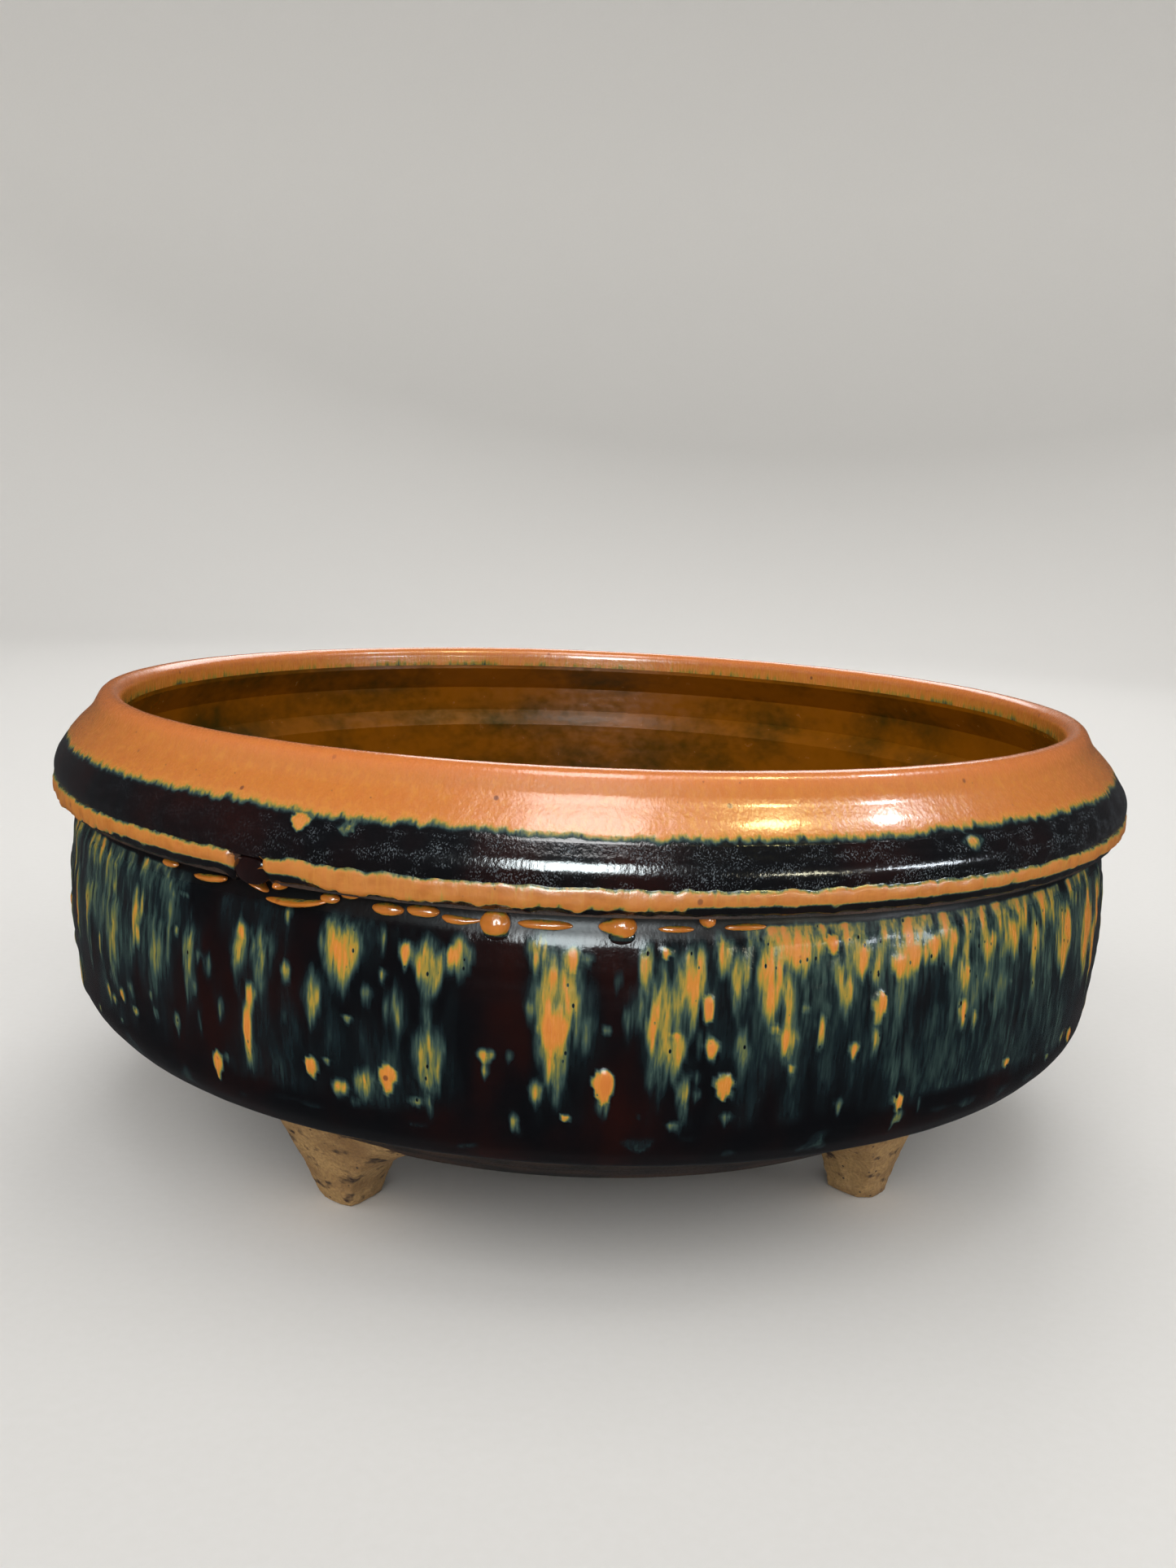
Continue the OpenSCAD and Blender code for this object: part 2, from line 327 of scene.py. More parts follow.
# turn, height, width, length, heat, raised
FRONT_FLARES = [Flare(*row) for row in (
    (-2, 46, 4.2, 16, 0.85), (-2, 43.5, 3.0, 7, 1.15, 0.18), (-3.6, 53, 2, 5, 0.8), (-1, 52.3, 1.6, 3.5, 0.95),
    (-2.2, 49.5, 2.4, 5, 0.9), (2, 36, 3.2, 5.6, 1.3, 0.3), (2, 32.6, 1.2, 3, 0.6),
    (-1, 31, 1.4, 1.3, 1.0, 0.2), (-7.4, 39, 1.6, 2, 0.8, 0.15), (-7.4, 36.8, 0.9, 2.4, 0.5),
    (6.2, 46, 4.6, 15, 0.72), (5.6, 43.5, 2, 6, 0.9), (7.4, 41, 2, 6, 0.85), (6.5, 53.4, 1.4, 1.7, 1.2, 0.22),
    (8.6, 50, 2.6, 9, 1.0), (9.9, 46.4, 1.7, 4.2, 1.2, 0.2), (10.4, 41, 1.2, 2.6, 1.1, 0.15),
    (11.6, 36, 2.8, 4.4, 1.3, 0.28), (8.4, 34, 1.1, 7, 0.75), (7.4, 42.6, 1.2, 1.2, 1.0),
    (15, 50.5, 2.2, 10, 1.15, 0.15), (16.4, 48, 1.6, 9, 0.85), (16.7, 41.6, 2, 5, 0.95),
    (17.6, 53.6, 4.4, 6, 0.95), (20.4, 54, 2, 2.8, 1.25, 0.22), (22.9, 39.4, 1, 2.2, 0.95),
    (25, 45.2, 2.5, 5.5, 1.2, 0.2), (25, 40.4, 1.2, 5, 0.7), (19.6, 43, 1.4, 5, 0.8), (28.6, 51.6, 5, 4, 0.95),
    (30.6, 52.4, 2, 3.4, 1.15), (26.8, 50.4, 2, 3.2, 1.15, 0.15), (37, 51.5, 4, 5, 0.75),
    (34.4, 47.6, 1.4, 5.5, 0.75), (34.4, 42.4, 1.4, 4, 0.85), (28.2, 30.6, 1.9, 3.4, 1.2, 0.3),
    (28.2, 27.6, 0.8, 3, 0.7), (42, 32, 1.2, 1.4, 0.95), (45, 50, 3, 8, 0.8), (51, 49, 5, 10, 1.0),
    (57, 30, 1.8, 3.2, 1.1, 0.2), (58, 48, 5, 12, 1.0), (-15.6, 34.4, 2.4, 5, 1.2, 0.22),
    (-12, 37.8, 3, 8.5, 0.72), (-17.6, 33, 2.6, 4.6, 0.7), (-12.2, 50, 2.6, 7, 1.0),
    (-14.2, 51.4, 1.1, 3.2, 1.0, 0.15), (-9.6, 52, 2, 5, 0.8), (-10.4, 51.6, 1, 3, 1.05),
    (-19.8, 51, 4, 8, 0.95), (-20, 50.6, 1.8, 4.6, 1.2, 0.15), (-22.6, 34, 2.2, 3.4, 1.2, 0.25),
    (-20, 31.6, 1.8, 2.4, 0.85), (-22.4, 44, 2.2, 7, 0.72), (-27.6, 48.4, 3.4, 9, 0.55), (-30, 48, 2, 8, 0.75),
    (-29.8, 50.4, 1, 3, 1.0), (-29, 37, 1.3, 8, 1.05), (-28.6, 42, 1, 4, 1.0), (-33, 30.6, 1.8, 5, 1.25, 0.22),
    (-14.8, 43.6, 2.6, 8, 0.5), (-12.2, 44, 1.2, 9, 0.5), (-25, 46.4, 1, 3, 0.95), (-17.4, 45.4, 1.2, 3.2, 0.7),
    (-36, 46, 2.4, 11, 0.66), (-39, 49, 2, 9, 0.55), (-41, 45, 4.5, 14, 0.46), (-44.5, 48, 1.4, 9, 0.78),
    (-49, 44, 4, 14, 0.62), (-47.6, 34.4, 1.6, 1.8, 0.75, 0.15), (-45.4, 32.8, 1.5, 1.6, 0.7, 0.15),
    (-50, 32.6, 1.5, 1.8, 0.7, 0.15), (-56, 46, 3, 14, 0.7), (0.6, 44, 1.6, 7, 0.45), (3.6, 45, 1.4, 6, 0.45),
    (13, 40, 2, 9, 0.5), (12.4, 50, 2, 8, 0.72), (21.6, 50, 2.4, 8, 0.8), (23.2, 52, 2, 6, 0.85),
    (32.6, 52.6, 2, 6, 0.85), (41, 52, 3, 6, 0.85), (5, 51.6, 1.6, 7, 0.8), (11, 53.4, 2, 5, 0.8),
)]


@dataclass(frozen=True)
class Column:
    """What the glazes do at one turn, whatever the height."""

    coat_edge: float
    top_share: float
    hang: float
    calm: float


class GlazeMap:
    """Where the outer glazes are hot, warm and thick, at every place round the pot."""

    FRONT = 60.0
    SECTOR = 3.0
    SPLASHES = 260
    KEYS_PER_DEGREE = 40

    def __init__(self, sizes: PotSizes, seed: int = 11) -> None:
        """Lay out the flares, listed in front and by seeded chance behind.

        Args:
            sizes: the pot's sizes.
            seed: seed of the chance marks.
        """
        self.sizes = sizes
        chance = random.Random(seed)
        flares = list(FRONT_FLARES)
        turn = self.FRONT + 1.0
        while turn < FULL_TURN - self.FRONT:
            high = 54 - 25 * chance.random() ** 1.2
            size = chance.random()
            flares.append(Flare(
                turn, high, 1.1 + 3.2 * size * size, 2.5 + 11 * chance.random() ** 1.6,
                0.55 + 0.7 * chance.random(), 0.08 + 0.16 * chance.random()))
            turn += chance.uniform(0.6, 2.6)
        for _ in range(self.SPLASHES):
            flares.append(Flare(
                chance.uniform(-180, 180), chance.uniform(28, 55), chance.uniform(0.7, 1.4),
                chance.uniform(0.9, 4.5), chance.uniform(0.3, 0.75), 0.04))
        self.columns: Dict[int, Column] = {}
        self.sectors: Dict[int, List[Flare]] = {}
        for flare in flares:
            first = math.floor((flare.turn - flare.reach()) / self.SECTOR)
            last = math.floor((flare.turn + flare.reach()) / self.SECTOR)
            for index in range(first, last + 1):
                self.sectors.setdefault(index % int(FULL_TURN / self.SECTOR), []).append(flare)

    def column(self, turn: float) -> Column:
        """Return what the glazes do at a turn, worked out once for each turn.

        Args:
            turn: place round the pot.

        Returns:
            The column at that turn.
        """
        key = round(turn * self.KEYS_PER_DEGREE)
        if key not in self.columns:
            hang = 4.2 + 2.6 * wander(turn, 0, 1.8, 1, 12.4) + 2.2 * wander(turn, 0, 5.5, 1, 9.2)
            self.columns[key] = Column(self.coat_edge(turn), self.top_share(turn), hang, self.calm(turn))
        return self.columns[key]

    def flare_at(self, turn: float, height: float) -> Tuple[float, float]:
        """Return what the flares do at a place.

        Args:
            turn: place round the pot.
            height: place up the pot.

        Returns:
            Their heat there, and how far they stand out.
        """
        heat = raised = 0.0
        for flare in self.sectors.get(math.floor((turn % FULL_TURN) / self.SECTOR), []):
            share = flare.at(turn, height)
            if share > 0:
                heat = max(heat, share * flare.heat)
                raised = max(raised, flare.raised * ease(0.1, 0.8, share))
        return heat, raised

    def coat_edge(self, turn: float) -> float:
        """Return the height of the orange coat's ragged lower edge.

        Args:
            turn: place round the pot.

        Returns:
            The height.
        """
        slow = 0.35 * wander(turn, 0, 30, 1, 3.1) + 0.25 * wander(turn, 0, 9, 1, 8.7)
        teeth = 0.32 * wander(turn, 0, 2.1, 1, 5.3) + 0.5 * wander(turn, 0, 1.0, 1, 1.9)
        return self.sizes.coat_z + 0.65 + slow + teeth

    def top_share(self, turn: float) -> float:
        """Return how far orange glaze hangs from the top of the wall.

        Args:
            turn: place round the pot.

        Returns:
            0 where it stops at the groove and 1 where it hangs furthest.
        """
        right = ease(9, 16, turn) * ease(64, 58, turn)
        left = ease(-33, -42, turn) * ease(-64, -58, turn)
        behind = ease(0.0, 0.5, wander(turn, 0, 34, 1, 6.2) + 0.25) if abs(turn) > 58 else 0.0
        return max(right, 0.75 * left, behind * ease(58, 64, abs(turn)))

    def wall_melt(self, turn: float, height: float) -> float:
        """Return the melt of the wall's coat.

        Args:
            turn: place round the pot.
            height: place up the pot.

        Returns:
            0 where it stays black, 0.5 where it is olive and 1 where it is orange.
        """
        s, column = self.sizes, self.column(turn)
        below = s.sill_z + 0.6 - height
        share = column.top_share
        top = share * (0.63 - 0.2 * max(0.0, below) / max(1.2, column.hang))
        top += 0.56 * share * wander(turn, height, 2.2, 7.0, 18.8) + 0.24 * share * wander(turn, height, 0.9, 5, 24.1)
        top *= ease(17, 7, below) * ease(-0.6, 0.2, below)
        teal = 0.3 * ease(24, 31, turn) * ease(52, 44, turn) * ease(48, 43, height) * ease(28.5, 31.5, height)
        grain = 0.2 + 0.16 * wander(turn, height, 11, 14, 2.2) + 0.12 * wander(turn, height, 2.6, 9, 7.7)
        grain += 0.16 * share * ease(30, 46, height)
        grain *= (1 - 0.8 * self.calm_at(turn, height)) * ease(26, 31, height) * ease(57, 54, height)
        flare, _ = self.flare_at(turn, height)
        ragged = 0.16 * wander(turn, height, 1.1, 4.5, 4.4)
        flare *= 0.92 + 0.42 * wander(turn, height, 0.8, 6, 19.4)
        melt = max(flare + (ragged if flare > 0.1 else 0), top + ragged * share, grain, teal)
        blue = ease(22.5, 25, height) * ease(30, 27, height)
        if blue > 0:
            blue *= ease(0.12, 0.42, wander(turn, height, 5, 3, 15.1))
        return max(melt * ease(25.5, 29, height) if flare < 0.3 else melt, 0.3 * blue)

    def calm(self, turn: float) -> float:
        """Return how plain and maroon the wall is.

        Args:
            turn: place round the pot.

        Returns:
            1 where the wall has no streaks, and 0 elsewhere.
        """
        left = ease(-10.4, -7.4, turn) * ease(-3.2, -5.6, turn)
        middle = ease(0.2, 3.0, turn) * ease(6.0, 3.8, turn)
        behind = ease(0.12, 0.3, wander(turn, 0, 12, 1, 21.3)) if abs(turn) > 60 else 0.0
        return max(left, middle, behind)

    def calm_at(self, turn: float, height: float) -> float:
        """Return how plain the wall is at a place, with the edges of its plain parts bent."""
        return self.column(turn + 1.6 * wander(turn, height, 5, 9, 14.5)).calm

    def melt(self, turn: float, height: float) -> float:
        """Return the melt of the outer glazes at a place on the rim, shoulder or wall.

        Args:
            turn: place round the pot.
            height: place up the pot.

        Returns:
            The melt, on the wall's scale, and below 0 well under the orange coat's edge.
        """
        s = self.sizes
        if height < s.belt_low + 0.5:
            return self.wall_melt(turn, height)
        melt = 0.5 + (height - self.column(turn).coat_edge) / 1.5
        island = Flare(-23.2, 67.2, 3.2, 2.4, 1.1, 0.2).at(turn, height)
        smear = Flare(-18.9, 67.0, 3.6 + 2 * wander(turn, height, 1, 1, 6.6), 1.9, 1, 0.2).at(turn, height)
        smear *= 0.62 + 0.5 * wander(turn, height, 0.8, 0.8, 5.5)
        dab = 0.8 * Flare(33, 66.6, 2.4, 1.6).at(turn, height)
        return clamp(max(melt, 1.15 * island, smear - 0.01, dab - 0.01), -1.2, 1.25)

    def warm(self, turn: float, height: float) -> float:
        """Return how maroon the dark glaze is at a place.

        Args:
            turn: place round the pot.
            height: place up the pot.

        Returns:
            0 for black and 1 for maroon.
        """
        cloud = 0.5 + 0.9 * wander(turn, height, 15, 18, 30.3)
        calm = self.calm_at(turn, height) * (0.32 + 0.3 * wander(turn, height, 3.5, 12, 33.0))
        return clamp(0.4 * cloud + calm + 0.2 * ease(-18, -34, turn))

    def relief(self, turn: float, height: float, melt: float) -> float:
        """Return how far the glaze stands out from the thrown line at a place.

        Args:
            turn: place round the pot.
            height: place up the pot.
            melt: the melt there.

        Returns:
            The relief in millimetres, between about -0.4 and 0.6.
        """
        s = self.sizes
        lift = 0.14 * wander(turn, height, 40, 22, 17.7) + 0.035 * wander(turn, height, 3.2, 3.2, 40.1)
        lift += 0.05 * wander(turn, height, 260, 1.6, 23.5)
        if height > s.belt_top - 0.5:
            lift += 0.11 * ease(0.25, 0.8, melt)
            lift -= 0.05 * ease(0.2, 0.4, melt) * ease(0.62, 0.42, melt)
            return lift
        _, raised = self.flare_at(turn, height)
        lift += raised + 0.07 * ease(0.4, 1.0, melt)
        lift += 0.05 * wander(turn, height, 1.3, 8, 31.9) * ease(0.15, 0.5, melt)
        lift += 0.1 * wander(turn, height, 120, 2.4, 11.3) * ease(57, 52, height)
        return lift


class Skin(Enum):
    """Which part of the outer glaze a finish is for."""

    RIM = "rust_glaze"
    SHOULDER = "tenmoku_glaze"
    WALL = "streaked_glaze"
    BELT = "thick_orange_glaze"
    DROP = "frozen_orange_glaze"


class Sheet:
    """A material and the shader nodes on it."""

    def __init__(self, name: str) -> None:
        """Make an empty material.

        Args:
            name: the material's name.
        """
        self.material = bpy.data.materials.new(name)
        self.material.use_nodes = True
        self.tree = self.material.node_tree
        self.tree.nodes.clear()
        self.place = self.add("ShaderNodeTexCoord").outputs["Object"]

    def add(self, kind: str, plugs: Optional[Dict[Union[str, int], Plug]] = None, **settings) -> bpy.types.Node:
        """Add a node.

        Args:
            kind: the node's type.
            plugs: what goes into its inputs, as a value or as another node's output.
            settings: its properties.

        Returns:
            The node.
        """
        node = self.tree.nodes.new(kind)
        for key, value in settings.items():
            setattr(node, key, value)
        for key, value in (plugs or {}).items():
            if isinstance(value, bpy.types.NodeSocket):
                self.tree.links.new(value, node.inputs[key])
            else:
                node.inputs[key].default_value = value
        return node

    def math(self, operation: str, a: Plug, b: Plug = 0.0, c: Plug = 0.0) -> Socket:
        """Return a sum of up to three numbers."""
        return self.add("ShaderNodeMath", {0: a, 1: b, 2: c}, operation=operation).outputs[0]

    def times(self, a: Plug, b: Plug) -> Socket:
        """Return the product of two numbers."""
        return self.math("MULTIPLY", a, b)

    def stir(self, base: Plug, cloud: Plug, amount: float) -> Socket:
        """Return a number with a cloud from 0 to 1 added to it, centred, by an amount."""
        return self.math("MULTIPLY_ADD", self.math("SUBTRACT", cloud, 0.5), amount, base)

    def height(self) -> Socket:
        """Return the height on the pot, in metres."""
        return self.add("ShaderNodeSeparateXYZ", {0: self.place}).outputs[2]

    def span(self, value: Plug, low: float, high: float, to_low: float = 0.0, to_high: float = 1.0) -> Socket:
        """Return a number moved smoothly from one span to another.

        Args:
            value: the number.
            low: where the first span starts, which may be above its end.
            high: where it ends.
            to_low: where the second span starts.
            to_high: where it ends.

        Returns:
            The moved number, held inside the second span.
        """
        return self.add(
            "ShaderNodeMapRange", {0: value, 1: low, 2: high, 3: to_low, 4: to_high},
            interpolation_type="SMOOTHSTEP").outputs[0]

    def stretched(self, across: float, along: float, shift: float = 0.0) -> Socket:
        """Return the place on the pot, counted in cells.

        Args:
            across: a cell's size across the pot, in millimetres.
            along: its size along the height.
            shift: a shift of the whole pattern, in cells.

        Returns:
            The place.
        """
        scale = (1 / (across * MM), 1 / (across * MM), 1 / (along * MM))
        return self.add("ShaderNodeMapping", {
            "Vector": self.place, "Scale": scale, "Location": (shift, shift, shift)}).outputs[0]

    def cloud(self, across: float, along: float, detail: float = 2.0, shift: float = 0.0) -> Socket:
        """Return noise from 0 to 1 with cells of a size across and along the height."""
        return self.add("ShaderNodeTexNoise", {
            "Vector": self.stretched(across, along, shift), "Scale": 1.0, "Detail": detail}).outputs["Fac"]

    def spots(self, across: float, along: float, size: float, share: float, shift: float = 0.0) -> Socket:
        """Return a mask of scattered spots.

        Args:
            across: how far apart they are round the pot.
            along: how far apart they are up the pot.
            size: how much of its cell a spot fills, up to 0.5.
            share: the share of cells that have a spot.
            shift: a shift of the whole pattern.

        Returns:
            1 inside a spot and 0 outside.
        """
        cells = self.add("ShaderNodeTexVoronoi", {
            "Vector": self.stretched(across, along, shift), "Scale": 1.0, "Randomness": 1.0})
        near = self.span(cells.outputs["Distance"], size, size * 0.55)
        pick = self.add("ShaderNodeSeparateColor", {0: cells.outputs["Color"]}).outputs[0]
        return self.times(near, self.math("LESS_THAN", pick, share))

    def mix(self, share: Plug, a: Plug, b: Plug) -> Socket:
        """Return a colour between two colours.

        Args:
            share: how much of the second colour, from 0 to 1.
            a: the first colour.
            b: the second colour.

        Returns:
            The mixed colour.
        """
        node = self.add("ShaderNodeMix", data_type="RGBA")
        for key, value in (("Factor_Float", share), ("A_Color", a), ("B_Color", b)):
            socket = next(s for s in node.inputs if s.identifier == key)
            if isinstance(value, bpy.types.NodeSocket):
                self.tree.links.new(value, socket)
            elif key == "Factor_Float":
                socket.default_value = value
            else:
                socket.default_value = (*value, 1.0)
        return next(s for s in node.outputs if s.identifier == "Result_Color")

    def ramp(self, value: Plug, stops: Sequence[Tuple[float, Colour, float]]) -> bpy.types.Node:
        """Add a colour ramp.

        Args:
            value: where on the ramp.
            stops: the place, colour and alpha of each stop.

        Returns:
            The ramp's node.
        """
        node = self.add("ShaderNodeValToRGB", {0: value})
        bar = node.color_ramp
        while len(bar.elements) < len(stops):
            bar.elements.new(0.5)
        for element, (place, colour, alpha) in zip(bar.elements, stops):
            element.position = place
            element.color = (*colour, alpha)
        return node

    def bump(self, height: Plug, depth: float) -> Socket:
        """Return a normal bent by a height from 0 to 1, as deep as a number of millimetres."""
        return self.add("ShaderNodeBump", {"Height": height, "Distance": depth * MM, "Strength": 1.0}).outputs[0]

    def attribute(self, name: str) -> Socket:
        """Return a number kept on the mesh's points."""
        return self.add("ShaderNodeAttribute", attribute_name=name).outputs["Fac"]

    def close(self, plugs: Dict[Union[str, int], Plug]) -> bpy.types.Material:
        """Add the surface shader and the output.

        Args:
            plugs: what goes into the surface shader.

        Returns:
            The finished material.
        """
        shader = self.add("ShaderNodeBsdfPrincipled", plugs)
        self.add("ShaderNodeOutputMaterial", {0: shader.outputs[0]})
        return self.material


@dataclass(frozen=True)
class OuterGlaze:
    """The glaze outside, one pattern from the rim to the heel."""

    skin: Skin
    rough_dark: float = 0.15
    rough_rust: float = 0.27
    coat: float = 0.25

    def material(self) -> bpy.types.Material:
        """Lay out the glaze's nodes.

        Returns:
            The material.
        """
        sheet = Sheet(self.skin.value)
        melt = sheet.attribute("melt")
        streak = sheet.cloud(1.15, 8.0, 3.0)
        thread = sheet.cloud(0.42, 3.4, 2.0, 7.0)
        heat = self.heat(sheet, melt, streak, thread)
        colour = self.colour(sheet, melt, heat)
        rough = sheet.span(heat, 0.15, 0.7, self.rough_dark, self.rough_rust)
        rough = sheet.stir(rough, thread, 0.08)
        if self.skin is Skin.WALL:
            rough = sheet.math("ADD", rough, sheet.span(sheet.height(), *GROOVE_BAND, 0.0, 0.22))
        colour = self.accent(sheet, melt, heat, colour)
        skin = sheet.math("MULTIPLY_ADD", streak, 0.6, sheet.cloud(0.5, 0.7, 3.0, 17.0))
        skin = sheet.math("MULTIPLY_ADD", heat, 0.8, skin)
        return sheet.close({
            "Base Color": colour, "Roughness": rough,
            "Normal": sheet.bump(skin, 0.03 if self.skin is Skin.WALL else 0.045),
            "IOR": 1.34 if self.skin is Skin.WALL else 1.55, "Coat Weight": self.coat, "Coat Roughness": 0.09,
            "Coat Normal": sheet.bump(sheet.cloud(0.35, 0.5, 2.0, 41.0), 0.012)})

    def heat(self, sheet: Sheet, melt: Socket, streak: Socket, thread: Socket) -> Socket:
        """Return the melt with the fine streaks, threads and pinholes in it.

        Args:
            sheet: the material.
            melt: the melt kept on the mesh.
            streak: a cloud of broad streaks.
            thread: a cloud of fine ones.

        Returns:
            The heat that the colours follow.
        """
        loose = sheet.span(melt, 0.12, 0.68, 0.12, 1.0)
        if self.skin is not Skin.WALL:
            loose = sheet.times(loose, 0.85)
        wave = sheet.stir(sheet.math("SUBTRACT", streak, 0.5), thread, 0.62)
        heat = sheet.math("MULTIPLY_ADD", wave, loose, melt)
        if self.skin is Skin.WALL:
            held = sheet.times(sheet.spots(1.1, 1.9, 0.2, 0.4, 11.0), sheet.span(melt, 0.35, 0.6))
            held = sheet.times(held, sheet.span(melt, 1.15, 0.8))
            heat = sheet.math("MULTIPLY_ADD", held, -0.4, heat)
        return sheet.times(heat, 0.8)

    def colour(self, sheet: Sheet, melt: Socket, heat: Socket) -> Socket:
        """Return the colour that all the outer coats share.

        Args:
            sheet: the material.
            melt: the melt kept on the mesh.
            heat: the melt with its fine marks.

        Returns:
            The colour, from black through teal and olive to orange, with dark specks in the orange.
        """
        tone = sheet.ramp(heat, [
            (0.11, srgb(14, 18, 20), 0.0), (0.23, srgb(24, 38, 42), 0.7), (0.35, srgb(56, 76, 71), 1.0),
            (0.45, srgb(104, 110, 62), 1.0), (0.55, srgb(162, 136, 52), 1.0), (0.66, srgb(198, 128, 48), 1.0),
            (0.84, srgb(208, 131, 54), 1.0), (1.0, srgb(201, 119, 49), 1.0)])
        depth = sheet.stir(sheet.attribute("warm"), sheet.cloud(7.0, 9.0, 2.0, 3.0), 0.9)
        dark = sheet.mix(sheet.span(depth, 0.1, 0.9), srgb(9, 10, 13), srgb(34, 11, 8))
        colour = sheet.mix(tone.outputs["Alpha"], dark, tone.outputs["Color"])
        mottle = sheet.span(sheet.cloud(1.6, 5.0, 3.0, 23.0), 0.45, 0.72, 0.0, 0.45)
        colour = sheet.mix(sheet.times(mottle, sheet.span(melt, 0.75, 1.0)), colour, srgb(198, 111, 49))
        specks = sheet.math("MAXIMUM", sheet.spots(4.2, 4.8, 0.11, 0.6, 2.0), sheet.spots(2.0, 2.4, 0.085, 0.5, 5.0))
        return sheet.mix(sheet.times(specks, sheet.span(melt, 0.8, 1.0, 0.0, 0.75)), colour, srgb(92, 44, 40))

    def accent(self, sheet: Sheet, melt: Socket, heat: Socket, colour: Socket) -> Socket:
        """Return the colour with what only this coat has.

        Args:
            sheet: the material.
            melt: the melt kept on the mesh.
            heat: the melt with its fine marks.
            colour: the colour that the coats share.

        Returns:
            The finished colour.
        """
        if self.skin is Skin.SHOULDER:
            # Grey speckle just under the orange coat's edge: partly the dark glaze's own frosty sparkle, partly a
            # painted satin highlight of the front lamps, which is why it fades on the pot's left side.
            frost_and_sheen = sheet.times(sheet.span(sheet.cloud(0.2, 0.3, 3.0, 9.0), 0.53, 0.64),
                                sheet.span(sheet.cloud(3.4, 1.6, 3.0, 29.0), 0.42, 0.6))
            frost_and_sheen = sheet.times(frost_and_sheen, sheet.span(melt, -1.3, 0.0, 0.0, 0.6))
            frost_and_sheen = sheet.times(frost_and_sheen, sheet.span(heat, 0.2, 0.05))
            side = sheet.add("ShaderNodeSeparateXYZ", {0: sheet.place}).outputs[0]
            frost_and_sheen = sheet.times(frost_and_sheen, sheet.span(side, -0.05, -0.022, 0.15, 1.0))
            return sheet.mix(frost_and_sheen, colour, srgb(104, 112, 118))
        if self.skin is Skin.RIM:
            lip = sheet.times(sheet.span(sheet.height(), *LIP_BAND, 0.0, 0.6), sheet.span(melt, 0.7, 1.0))
            return sheet.mix(lip, colour, srgb(216, 122, 62))
        if self.skin in (Skin.BELT, Skin.DROP):
            shade = sheet.span(sheet.cloud(2.4, 1.4, 3.0, 33.0), 0.35, 0.7, 0.25, 0.8)
            return sheet.mix(sheet.times(shade, sheet.span(heat, 0.6, 0.82)), colour, srgb(178, 104, 28))
        return colour


@dataclass(frozen=True)
class AmberGlaze:
    """The brown glaze inside the pot, thin on the throwing rings and dark where it pooled."""

    def material(self) -> bpy.types.Material:
        """Lay out the glaze's nodes.

        Returns:
            The material.
        """
        sheet = Sheet("amber_lining")
        broad = sheet.cloud(24.0, 14.0, 3.0)
        fine = sheet.cloud(2.2, 1.6, 3.0, 4.0)
        rings = sheet.cloud(160.0, 2.6, 1.0, 8.0)
        value = sheet.stir(broad, fine, 0.25)
        tone = sheet.ramp(value, [
            (0.3, srgb(64, 48, 10), 1.0), (0.42, srgb(98, 60, 4), 1.0), (0.56, srgb(128, 74, 2), 1.0),
            (0.8, srgb(142, 82, 4), 1.0)])
        height = sheet.math("MULTIPLY_ADD", rings, 2.0, fine)
        return sheet.close({
            "Base Color": tone.outputs["Color"], "Roughness": sheet.span(fine, 0.2, 0.8, 0.18, 0.28),
            "Normal": sheet.bump(height, 0.03), "IOR": 1.38})


@dataclass(frozen=True)
class BareClay:
    """Fired stoneware, raw on the feet and brushed with a brown wash under the pot."""

    name: str
    washed: float

    def material(self) -> bpy.types.Material:
        """Lay out the clay's nodes.

        Returns:
            The material.
        """
        sheet = Sheet(self.name)
        grain = sheet.cloud(0.5, 0.5, 4.0)
        broad = sheet.cloud(9.0, 5.0, 3.0, 5.0)
        raw = sheet.mix(sheet.span(broad, 0.3, 0.7), srgb(140, 102, 54), srgb(180, 142, 86))
        raw = sheet.mix(sheet.span(grain, 0.35, 0.65, 0.0, 0.4), raw, srgb(108, 80, 50))
        wash = sheet.mix(sheet.span(broad, 0.3, 0.7), srgb(34, 20, 12), srgb(72, 42, 20))
        bare = 0.62 - self.washed * 0.6
        share = sheet.span(sheet.cloud(3.0, 2.0, 3.0, 9.0), bare, bare + 0.16)
        colour = sheet.mix(share, raw, wash)
        colour = sheet.mix(sheet.spots(1.6, 1.6, 0.17, 0.5, 2.0), colour, srgb(52, 34, 22))
        colour = sheet.mix(sheet.spots(0.7, 0.7, 0.16, 0.25, 6.0), colour, srgb(70, 48, 30))
        rings = sheet.cloud(200.0, 1.4, 1.0, 3.0)
        height = sheet.math("MULTIPLY_ADD", rings, 1.2, grain)
        return sheet.close({
            "Base Color": colour, "Roughness": sheet.span(grain, 0.2, 0.8, 0.62, 0.85),
            "Normal": sheet.bump(height, 0.22), "IOR": 1.45})


@dataclass(frozen=True)
class StudioPaper:
    """Pale paper of the floor and backdrop, clear from behind so that the underside can be seen."""

    def material(self) -> bpy.types.Material:
        """Lay out the paper's nodes.

        Returns:
            The material.
        """
        sheet = Sheet("studio_paper")
        tone = sheet.mix(sheet.cloud(1.5, 1.5, 2.0), srgb(226, 224, 220), srgb(230, 228, 225))
        paper = sheet.add("ShaderNodeBsdfPrincipled", {"Base Color": tone, "Roughness": 0.85})
        clear = sheet.add("ShaderNodeBsdfTransparent")
        back = sheet.add("ShaderNodeNewGeometry").outputs["Backfacing"]
        both = sheet.add("ShaderNodeMixShader", {0: back, 1: paper.outputs[0], 2: clear.outputs[0]})
        sheet.add("ShaderNodeOutputMaterial", {0: both.outputs[0]})
        return sheet.material


